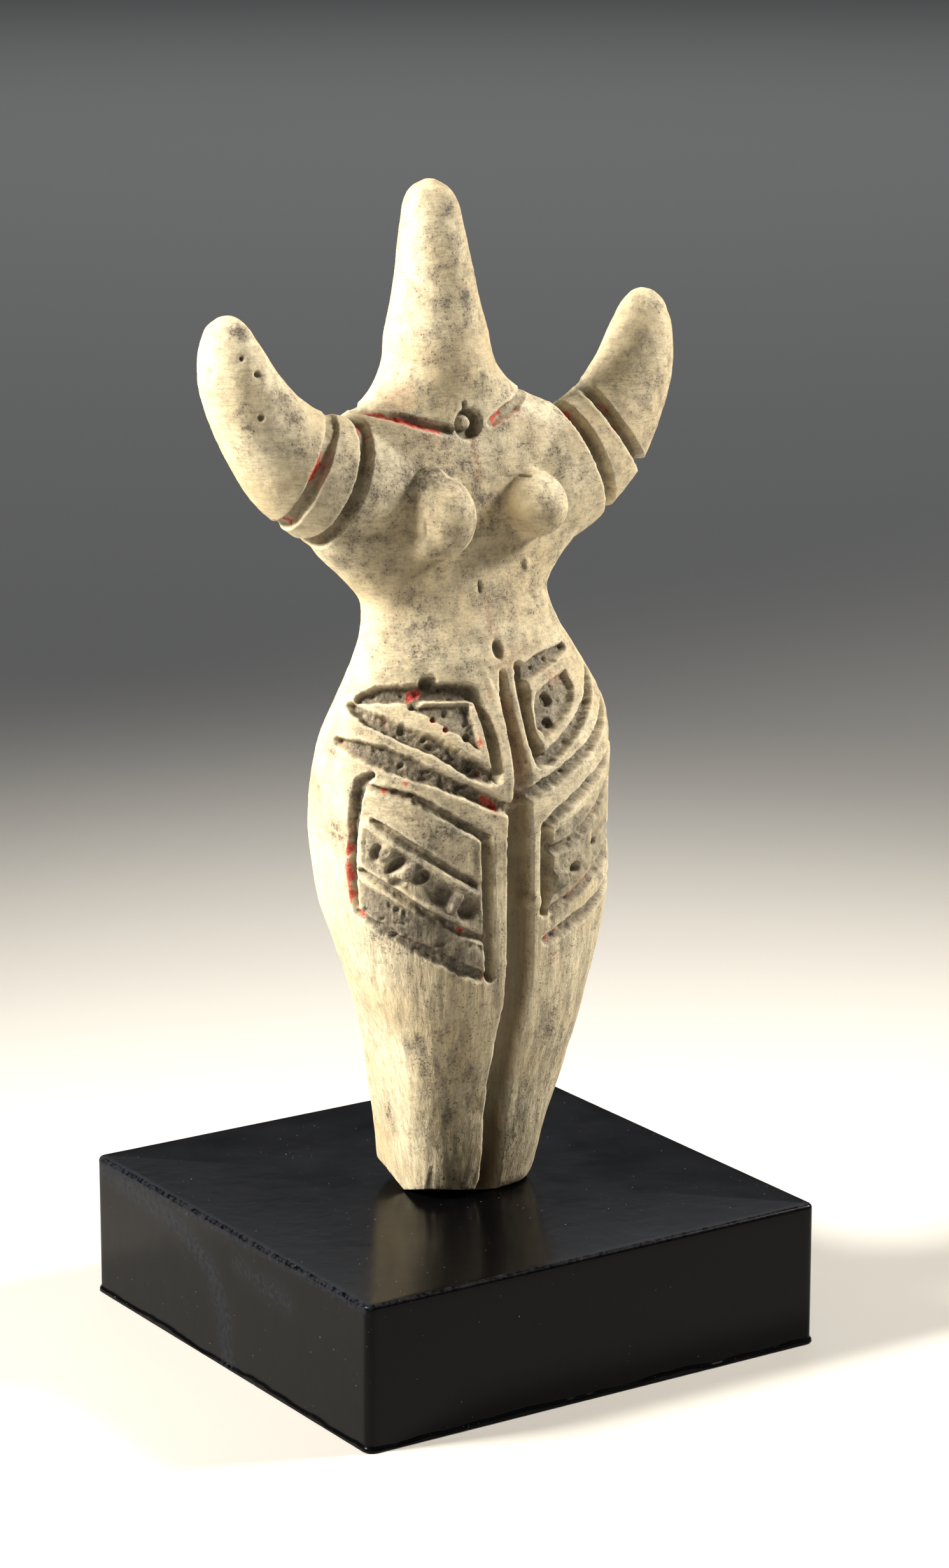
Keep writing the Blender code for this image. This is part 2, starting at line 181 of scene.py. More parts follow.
def smoothRows(rows, wanted):
    # A smooth curve through each column of rows, read where the first column has the wanted values
    rows = np.array(rows, float)
    known = rows[:, 0]
    wanted = np.clip(wanted, known[0], known[-1])
    slopes = np.gradient(rows, known, axis=0)
    place = np.clip(np.searchsorted(known, wanted, side="right") - 1, 0, len(known) - 2)
    step = (known[place + 1] - known[place])[:, None]
    t = (wanted - known[place])[:, None] / step
    return (
        (2 * t**3 - 3 * t**2 + 1) * rows[place]
        + (t**3 - 2 * t**2 + t) * step * slopes[place]
        + (-2 * t**3 + 3 * t**2) * rows[place + 1]
        + (t**3 - t**2) * step * slopes[place + 1]
    )


# The figure's form: one lump of clay, with the arms and breasts pressed on
formSettings = {
    # height, centre across, centre front to back, half width, half depth, squareness
    "bodySections": (
        (0, 1.3, 0.4, 13.6, 10.9, 2.8), (1.2, 1.3, 0.3, 14, 11.5, 2.9), (4, 1.3, -0.1, 14.3, 12.1, 3),
        (9, 1.2, -0.8, 14.8, 12.8, 3.1), (20, 1.2, -2.8, 17.8, 12.9, 3.1), (33, 1.2, -4.7, 20.8, 15, 2.8),
        (45, 1.2, -5, 24.7, 16.9, 2.5), (57, 1.1, -3.4, 28.2, 19, 2.5), (68, 1, -1.9, 29.2, 20.4, 2.45),
        (77, 0.9, -2, 29.8, 20.3, 2.35), (85, 0.9, -3.2, 30, 18.4, 2.3), (92, 0.8, -4, 29.6, 14.8, 2.2),
        (98, 0.8, -3.8, 27, 12.2, 2.1), (104.5, 0.6, -3.3, 23.3, 10.8, 2.1),
        (111, 0.4, -2.2, 20.2, 9.6, 2.1), (115, 0.2, -1.4, 19.6, 9.2, 2.2),
        (120, 0.1, -0.6, 23.4, 9.2, 2.3), (126, 0, -0.1, 29.2, 9.2, 2.4), (138, 0, 0.8, 30.6, 9, 2.5),
        (146, 0, 1.9, 28, 8.6, 2.4), (151, 0.2, 2.7, 17.4, 9, 2.1), (157, 0, 3.4, 11.3, 9.9, 2),
        (163, -0.3, 3.9, 9.9, 9.2, 2), (169, -0.2, 4.3, 8.3, 8.3, 2), (180, -0.3, 5, 6.4, 6.5, 2),
        (184, -0.4, 5.2, 5.6, 5.7, 2.1), (187.5, -0.5, 5.4, 4.7, 4.8, 2.2),
        (190, -0.5, 5.5, 3.1, 3.1, 2.1), (191.2, -0.5, 5.5, 1, 1, 2),
    ),
    # how far out, front to back, height, radius, depth as a share of the radius
    "armSections": (
        (10, 0.5, 132, 12, 0.72), (21, 0.8, 134.8, 12.8, 0.74), (31, 1.4, 139.6, 11.2, 0.8),
        (37.9, 2.2, 146.6, 9, 0.9), (42, 3, 153.8, 7.6, 0.96), (43.8, 3.6, 160.2, 6.3, 1),
        (44.4, 3.9, 164.8, 4.6, 1), (44.5, 4, 167.2, 3, 1), (44.5, 4, 168.4, 1.2, 1),
    ),
    # side, then how the root and the tip are moved out and up
    "arms": ((-1, (-0.6, 1.8), (0.9, 1)), (1, (0.6, -0.8), (2.9, -0.8))),
    # across, front to back, height, and the half sizes in the same order
    "breasts": (
        (-7.7, -8.8, 131.4, 6.1, 7.9, 7.6), (-9.3, -7.8, 136.4, 3.6, 5, 4.4),
        (-11.1, -8.9, 126.7, 3, 4.3, 3.1), (12.6, -9, 131.8, 5.8, 7.8, 6.3)),
    "ringPoints": 96,
    "ringSpacing": 1.5,
    "armRingsPerSection": 6,
    "breastSegments": 48,
    "breastRings": 32,
    "voxel": 0.36,         # drawn mm
    "smoothing": 0.5,
    "smoothingRounds": 10,
    "triangles": 196000,
}


def turnsRound(count):
    return np.linspace(0, 2 * math.pi, count, endpoint=False)


def bodyRings(settings):
    turn = turnsRound(settings["ringPoints"])
    across, along = np.sin(turn), -np.cos(turn)
    known = [row[0] for row in settings["bodySections"]]
    heights = np.unique(np.concatenate([known, np.arange(0.0, known[-1], settings["ringSpacing"])]))
    for height, x, y, width, depth, square in smoothRows(settings["bodySections"], heights):
        ringX = x + width * np.sign(across) * np.abs(across) ** (2 / square)
        ringY = y + depth * np.sign(along) * np.abs(along) ** (2 / square)
        yield [Vector((a, b, height)) * unit for a, b in zip(ringX, ringY)]


def armRings(settings, side, root, tip):
    rows = np.array(settings["armSections"], float)
    share = np.linspace(0, 1, len(rows))
    rows[:, 0] = side * (rows[:, 0] + root[0] + (tip[0] - root[0]) * share)
    rows[:, 2] += root[1] + (tip[1] - root[1]) * share
    numbered = np.concatenate([np.arange(len(rows))[:, None], rows], axis=1)
    last = len(rows) - 1
    fine = smoothRows(numbered, np.linspace(0, last, settings["armRingsPerSection"] * last + 1))[:, 1:]
    headings = np.gradient(fine[:, :3], axis=0)
    front = Vector((0, -1, 0))
    for (x, y, z, radius, share), heading in zip(fine, headings):
        over = Vector(heading).cross(front).normalized()
        yield [
            (Vector((x, y, z)) + over * radius * math.cos(a) + front * radius * share * math.sin(a)) * unit
            for a in turnsRound(settings["ringPoints"])
        ]


def makeForm(settings):
    mesh = bmesh.new()
    loft(mesh, list(bodyRings(settings)))
    for side, root, tip in settings["arms"]:
        loft(mesh, list(armRings(settings, side, root, tip)))
    for x, y, z, halfWidth, halfDepth, halfHeight in settings["breasts"]:
        made = bmesh.ops.create_uvsphere(
            mesh, u_segments=settings["breastSegments"], v_segments=settings["breastRings"], radius=1.0
        )
        bmesh.ops.scale(mesh, vec=Vector((halfWidth, halfDepth, halfHeight)) * unit, verts=made["verts"])
        bmesh.ops.translate(mesh, vec=Vector((x, y, z)) * unit, verts=made["verts"])
    piece = newPiece("figurine_clay", mesh, "figurine")
    fuse = piece.modifiers.new("fuse", "REMESH")
    fuse.mode = "VOXEL"
    fuse.voxel_size = settings["voxel"] * unit
    fuse.use_smooth_shade = True
    soften = piece.modifiers.new("soften", "SMOOTH")
    soften.factor = settings["smoothing"]
    soften.iterations = settings["smoothingRounds"]
    bakeModifiers(piece)
    return piece


# The carving follows the surface. A place on the front, hips or legs is its turn about the body's middle
# line, in degrees from the front with the viewer's right as plus, its height, and the mark's width there.
carvingSettings = {
    "mmPerDegree": 0.36,
    "pathStep": 0.8,       # mm between the points that a mark is drawn through
    "margin": 2,           # mm looked at around a mark, and around a field
    "fieldMargin": 8,
    "wall": 0.75,          # mm that a groove's wall takes
    "ragged": 0.08,        # mm that a groove's edge wanders, and what grit adds to it
    "gritRagged": 0.2,
    "gritInset": 0.1,      # mm that grit stays off a groove's edge, and mm over which it fades
    "gritWall": 0.6,
    "lip": 0.03,           # mm that the clay stands up beside a groove, where, how wide, share at a field
    "lipPlace": 0.5,
    "lipWidth": 0.35,
    "fieldLip": 0.4,
    "flatFade": 14,        # mm of height over which a flat fades out
    "ridgeWall": 0.9,      # mm that a ridge's wall takes, how its edge wanders, how strong the painted highlight on its top is
    "ridgeRagged": 0.1,
    "ridgeHighlight": 0.6,
    "pitWall": 0.8,        # share of a pit's size that its wall takes
    "pitReach": 4,         # mm in or out that a pit reaches from its middle
    "armPitWall": 0.5,     # mm
    "pitGrit": 0.7,        # how much grey grit the pits and the necklace hold
    "necklaceGrit": 0.5,
    # depth, how much grey grit it holds, places
    "lines": {
        "legGroove": (3.3, 0.12, ((0.5, 79, 4.6), (0.5, 69, 5.2), (0, 54, 5.3), (0, 46, 5.2), (-1, 40, 5),
            (-4, 33, 5.2), (-4, 26, 5.1), (-4, 18, 4.4), (-1.5, 10, 4.2), (-1, 4, 4.2), (-1, -1, 4.4))),
        "toeCrease": (0.18, 0, ((-51, 7, 0.3), (-52.5, 3, 1.2), (-53.5, -1, 1.6))),
        "backGroove": (1.8, 0.1, ((180, 84, 2), (180, 60, 3.6), (180, 20, 4), (180, -1, 4.2))),
        "centreSlit": (2, 0.2, ((7, 102, 0.9), (5, 97, 2), (3.5, 90.5, 2.7), (3, 85, 3.3),
            (1.5, 80, 4.2))),
        "triangleTop": (1.6, 0.9, ((-82, 99, 1.4), (-75, 99.9, 2.9), (-64, 99.9, 3.2), (-55, 100.2, 3.3),
            (-46, 99.8, 3.3), (-29, 99.2, 3.2))),
        "triangleRight": (1.7, 0.4, ((-26, 99.2, 2.6), (-19, 95.8, 2.5), (-15, 91.6, 2.8),
            (-13.5, 87.4, 2.4), (-13, 83.8, 1.5))),
        "triangleLower": (1.8, 0.9, ((-85, 97.8, 1.3), (-74, 95.6, 2.7), (-66, 94.1, 2.8),
            (-57, 92.2, 2.9), (-48, 90.7, 3), (-39, 88.8, 3.2), (-28, 86.4, 3.6), (-18, 84.6, 2.8))),
        "secondLeft": (1.8, 0.9, ((-86, 91.4, 1.3), (-77, 90.6, 2.9), (-66, 89, 3.9), (-58, 87.5, 3.8),
            (-50, 86, 3.1), (-42, 84.6, 2.8), (-32, 82.6, 2.6), (-19, 80.2, 2.5), (-7, 78.2, 2.2))),
        "panelOuterLeft": (1.6, 0.9, ((-70, 85.8, 1.3), (-73.4, 84.4, 2), (-74.4, 78, 2.1),
            (-75.2, 70, 1.4), (-77, 60.6, 1.1))),
        "panelTopLeft": (1.6, 0.6, ((-72, 83.9, 0.9), (-62, 82.9, 1.2), (-54, 82, 1.5), (-46, 80.2, 1.6),
            (-38, 78.2, 1.6), (-31, 76.1, 1.6), (-23, 74.3, 1.7), (-19, 73.2, 1.9))),
        "panelInnerLeft": (2.2, 0.1, ((-18.8, 72.8, 2), (-19, 66, 2), (-20, 58.6, 2), (-20.5, 52.9, 2),
            (-20.5, 46.3, 1.7))),
        "upperLeft": (1.5, 0.5, ((-67, 77.3, 0.8), (-62, 75.9, 1.3), (-54, 73.3, 1.5), (-45, 70.3, 1.6),
            (-36, 67.4, 1.6), (-25, 64.4, 1.8))),
        "lowerLeft": (1.4, 0.7, ((-72, 67.6, 1), (-63, 65.1, 1.3), (-56, 62.9, 1.3), (-49, 60.1, 1.4),
            (-40, 57.6, 1.6), (-35, 56, 1.8), (-23, 53.9, 1.4))),
        "bottomLeft": (1.1, 1, ((-77, 59.6, 1.1), (-67, 56.8, 1.6), (-58, 54, 2), (-48, 51.6, 2.3),
            (-37, 49, 2.5), (-27, 47, 2.2))),
        "besideSlit": (2, 0.5, ((26, 102.6, 1.8), (23.5, 98, 2.6), (20, 93.2, 2.8), (17.5, 89.4, 2.7),
            (17.5, 86.4, 2.4))),
        "firstRight": (1.9, 0.9, ((17.5, 86, 2.3), (24, 86.3, 2.4), (35, 88, 2.4), (47, 90.1, 2.3),
            (57, 92.2, 2.2), (65, 94.2, 2), (78, 98.6, 1.8))),
        "aboveDiamond": (1.3, 1, ((24, 100.6, 2.4), (37, 101.9, 3), (52, 103.2, 2.8), (68, 104.2, 1.4))),
        "secondRight": (1.9, 0.9, ((4, 79.4, 2.2), (14, 81.1, 2.3), (25, 82.4, 2.1), (38, 84.4, 2.1),
            (51, 86.4, 2), (64, 89.2, 2), (82, 94.6, 1.8))),
        "thirdRight": (1.8, 0.9, ((17.5, 73.6, 1.9), (24, 75.3, 2.1), (41, 78.7, 2.2), (53, 81, 2.1),
            (63, 83.2, 2), (84, 89.4, 1.8))),
        "fourthRight": (1.5, 0.8, ((22, 68.7, 1.7), (31, 69.4, 1.9), (42, 71.6, 1.9), (54, 75, 1.8),
            (76, 81, 1.5))),
        "panelInnerRight": (2.1, 0.2, ((17, 73.4, 2.2), (17.6, 69.8, 2.9), (17.8, 64.2, 2.9),
            (16.5, 57.2, 1.7))),
        "panelOuterRight": (1.3, 0.4, ((76, 86.5, 1.5), (75, 76, 1.9), (75, 61, 1.7))),
        "lowerRight": (1.4, 0.8, ((22, 57.4, 1.6), (32, 58.7, 1.7), (43, 60.9, 1.7), (58, 64.8, 1.6),
            (73, 69, 1.4))),
        "bottomRight": (1.2, 1, ((19, 51.8, 1.8), (31, 53.4, 2.4), (46, 55.4, 2.6), (60, 58.4, 2),
            (74, 61, 1.4))),
    },
    # sunken fields: depth, grit, corners as turn and height
    "fields": {
        "triangle": (1.1, 0.9, ((-64, 97.9), (-30, 97.7), (-22.5, 89.4))),
        "diamond": (1.3, 0.8, ((61, 100), (48, 98.9), (35, 97.5), (28.5, 95.2), (25, 92), (26.5, 89.9),
            (36, 91), (47, 92.9), (56, 95), (61.5, 97.2))),
        "waveBand": (0.35, 0.45, ((-71, 77), (-24, 63.6), (-23, 54.6), (-72, 68.2))),
        "apronTop": (0.25, 0.1, ((-71.5, 82), (-24, 72.5), (-24, 65), (-71.5, 78))),
        "apronFoot": (0.35, 0.8, ((-73, 65.6), (-24, 52.6), (-24, 48), (-50, 52.6), (-74, 60))),
        "apronRight": (0.35, 0.5, ((20, 72), (62, 79), (72, 66), (20, 54))),
    },
    # ridges left or pressed up between the cuts: height, width, places
    "ridges": {
        "slitLeft": (0.2, ((-12, 103, 0.8), (-6, 98, 1.3), (-3.5, 93, 1.5), (-4.5, 88, 1.5),
            (-4.5, 83, 1.4), (-5, 79.6, 1))),
        "slitRight": (0.2, ((17, 102.5, 0.8), (15.5, 98.5, 1), (13, 94, 1.1), (10.5, 89.4, 1.1),
            (10, 84.5, 1.2), (13, 82.8, 1.2))),
        "triangleRim": (0.05, ((-26, 97.4, 0.7), (-21.5, 93.6, 0.9), (-18.5, 89, 1), (-18, 86.6, 0.7))),
        "triangleTopRim": (-0.5, ((-48, 98, 0.4), (-29, 97.7, 0.5))),
        "diamondLeft": (0, ((50, 99.9, 0.9), (35, 98.4, 1), (27, 95.9, 1), (22.5, 92, 1), (22, 89.8, 1),
            (25.5, 88.6, 1))),
        "diamondRight": (0, ((25.5, 88.6, 1), (36, 89.9, 1.1), (47, 91.7, 1.2), (57, 94, 1.3),
            (64, 97, 1.3))),
        "waveTop": (0.2, ((-70, 76.4, 0.8), (-62, 74, 1.1), (-54, 71.5, 1.2), (-45, 68.5, 1.3),
            (-36, 65.6, 1.3), (-26, 62.8, 1.3))),
        "waveSide": (0.15, ((-70.5, 76.4, 0.8), (-72, 68.8, 0.8))),
        "waveBottom": (0.15, ((-72, 68.9, 0.8), (-63, 66.4, 0.8), (-56, 64.2, 0.8), (-49, 61.7, 0.9),
            (-41, 59.4, 0.9))),
        "chestCord": (0.15, ((6.5, 145, 0.8), (7, 141, 0.7))),
    },
    # pits, or bumps where the depth is below zero: turn, height, half length, half width, slant, depth
    "pits": (
        # the apron's band of pits, viewer's left
        (-65.5, 71.2, 1.6, 1.1, 70, 1.6), (-58.5, 69.1, 2.3, 1, 42, 1.7), (-49, 66.8, 1.6, 1.1, 30, 1.5),
        (-58, 65.9, 1.6, 0.8, 10, 0.9), (-41, 62.9, 2.8, 1.9, -30, 1.2), (-30.5, 60.1, 2.2, 1.7, 60, 1.8),
        (-61.8, 71.4, 1.8, 1.1, 55, -0.5), (-53.5, 68, 1.9, 1.1, 45, -0.5),
        (-35.6, 61.8, 2, 0.9, 60, -0.2),
        # the apron's foot
        (-66, 57.2, 1, 0.7, -10, 1), (-54.5, 53.2, 1.3, 0.7, -25, 1.1), (-44, 50.4, 1, 0.6, -20, 1),
        (-33, 48, 0.9, 0.6, -20, 0.9), (-29.5, 50.8, 2.2, 1.6, -60, -0.4),
        # the belt's triangle and the lines under it
        (-56, 101.7, 1.2, 1.1, 0, 2.1), (-48, 100.4, 0.5, 0.5, 0, 2.2), (-61, 98, 0.9, 0.8, 0, 1.5),
        (-51, 95.4, 0.5, 0.5, 0, 1.7), (-44, 93.6, 0.5, 0.5, 0, 1.7), (-31, 91.9, 0.9, 0.8, 0, 1.9),
        (-37, 96.5, 1.3, 0.8, -20, 1.2), (-23, 85.4, 0.7, 0.6, 0, 2.5), (-28, 86.6, 0.6, 0.6, 0, 2.4),
        (-53, 92.2, 0.5, 0.5, 0, 2.3), (-34, 83, 0.7, 0.6, 0, 2.5), (-60, 87.8, 0.8, 0.6, 60, 2.3),
        # the apron, viewer's left
        (-60.5, 82.8, 0.8, 0.7, 0, 2), (-54, 82.1, 0.9, 0.5, -30, 2.1), (-27, 64.9, 0.8, 0.6, -40, 1.9),
        (-60, 60.6, 0.6, 0.7, 90, 0.8),
        # the diamond, and the apron on the viewer's right
        (43, 96.2, 1.5, 1.2, 40, 2.5), (35.5, 92.3, 1.2, 1, 40, 2.3), (26, 62.9, 1.8, 1.6, 0, -1),
        (36, 64.2, 1.2, 1, 0, 1.6), (49, 68, 0.8, 0.7, 0, 1.7), (9.5, 59.4, 1.8, 1.3, 80, -0.9),
        # belly, chest and neck
        (7, 106.2, 1.6, 0.9, 90, 1.1), (0, 117.6, 1.3, 0.35, 90, 0.6), (43, 137.4, 1.8, 0.22, -8, 0.2),
        (53, 120.6, 1, 0.5, 90, -0.5), (-47, 130.2, 1.6, 0.35, 90, 0.35), (-6, 150.6, 1.1, 0.35, 90, 0.6),
    ),
    # flat places that were pared, or where a corner is gone: which way they face, how far out, and top
    "flats": {
        "legSide": ((-0.978, 0, -0.208), 11.04, 35),
        "footCorner": ((-0.549, 0.363, -0.753), 5.7, 30),
        "soleFront": ((-0.179, -0.275, -0.945), 2.3, 20),
    },
    # small round pits on the arms and neck: across, front to back, height, radius, depth
    "armPits": (
        (-42.7, -3.1, 159.8, 0.6, 0.6), (-42.9, -4.5, 152.2, 0.6, 0.6), (-45.4, -2.1, 162.7, 0.45, 0.4),
        (-49.8, 1.1, 160.4, 0.35, 0.3), (-10.8, 0.4, 156.8, 0.35, 0.3), (-29, -6.3, 131.7, 0.6, -0.4)),
    # rings cut around the upper arms, outside and above these places. They are deepest at the front, and
    # keep this share of their depth at the back and over the shoulder
    "ringsFrom": (16, 122),
    "ringsBack": 0.25,
    "ringsOver": 0.6,
    "ringsTop": 147,
    "ringsFade": 6,
    "ringGrit": 0.35,
    # the plane's direction and its distance out, width and depth
    "armRings": {
        "outerLeft": ((-0.871, 0.192, 0.452), 90.75, 2.3, 1.5),
        "innerLeft": ((-0.896, -0.189, 0.401), 78.9, 2.3, 1.9),
        "innerRight": ((0.909, -0.058, 0.412), 83.6, 2.3, 1.8),
        "outerRight": ((0.764, -0.262, 0.590), 112.4, 2, 1.5),
    },
    # across, front to back, height, width and depth along the necklace, from the bead round both sides
    "necklace": (
        ((-4.2, -6.5, 146.7, 1.6, 1.1), (-9, -6.1, 148, 1.7, 1.1), (-13.8, -4.3, 149.6, 1.6, 0.8),
         (-16.9, -1.8, 150.2, 1.5, 0.6), (-18.4, 3.2, 150.5, 1.5, 0.6), (-17, 8, 151.5, 1.5, 0.6),
         (-10, 12, 152.5, 1.5, 0.7), (0, 14, 153, 1.5, 0.7)),
        ((5, -6.5, 147.3, 1.2, 1), (7.6, -6.1, 148.5, 2, 1.3), (10.8, -5.2, 149.6, 2.1, 1.3),
         (13.6, -3.6, 150.9, 1.6, 0.9), (16.6, 1, 151.6, 1.4, 0.6), (16.8, 7, 152.2, 1.5, 0.6),
         (10, 12, 152.8, 1.5, 0.7), (0, 14, 153, 1.5, 0.7)),
    ),
    # the bead: a ring sunk round a low nub, deeper on the viewer's right
    "bead": {
        "turn": -0.5, "height": 147.4, "radius": 2.8, "wall": 0.5, "depth": 1.1, "deeper": 0.7, "fade": 2,
        "nubShift": (-0.5, 0, 0.2), "nubRadius": 1.3, "nubWall": 0.7, "nubShare": 0.85, "grit": 0.5,
        "rimPlace": 0.5, "rimWidth": 0.4, "margin": 6,
    },
    # unevenness over the whole figure, upright strokes on the legs, marks of the hand elsewhere, and grit
    # in the carving: mm of height, size in mm, seed
    "uneven": ((0.2, 9, 1), (0.07, 3.2, 2)),
    "strokes": ((0.14, (1.5, 1.5, 18), 7), (0.07, (0.8, 0.8, 9), 8)),
    "worked": ((0.05, (3.5, 3.5, 1.2), 17), (0.03, 0.9, 19)),
    "grit": ((0.2, 0.9, 9), (0.22, 2.4, 11)),
    # how the marks' edges wander
    "wander": ((1, 1.6, 3), (0.6, 0.7, 5)),
    "legTop": 74,          # mm of height where the strokes end, and over which they fade
    "legFade": 20,
    # holes in the grit: depth, size, seed, how high the noise must be, and over how much it fades
    "gritHoles": (0.5, 1.5, 13, 0.44, 0.3),
    "soleTop": 2.5,        # mm of height below which the cuts run level through the soles, and its fade
    "soleFade": 3,
}
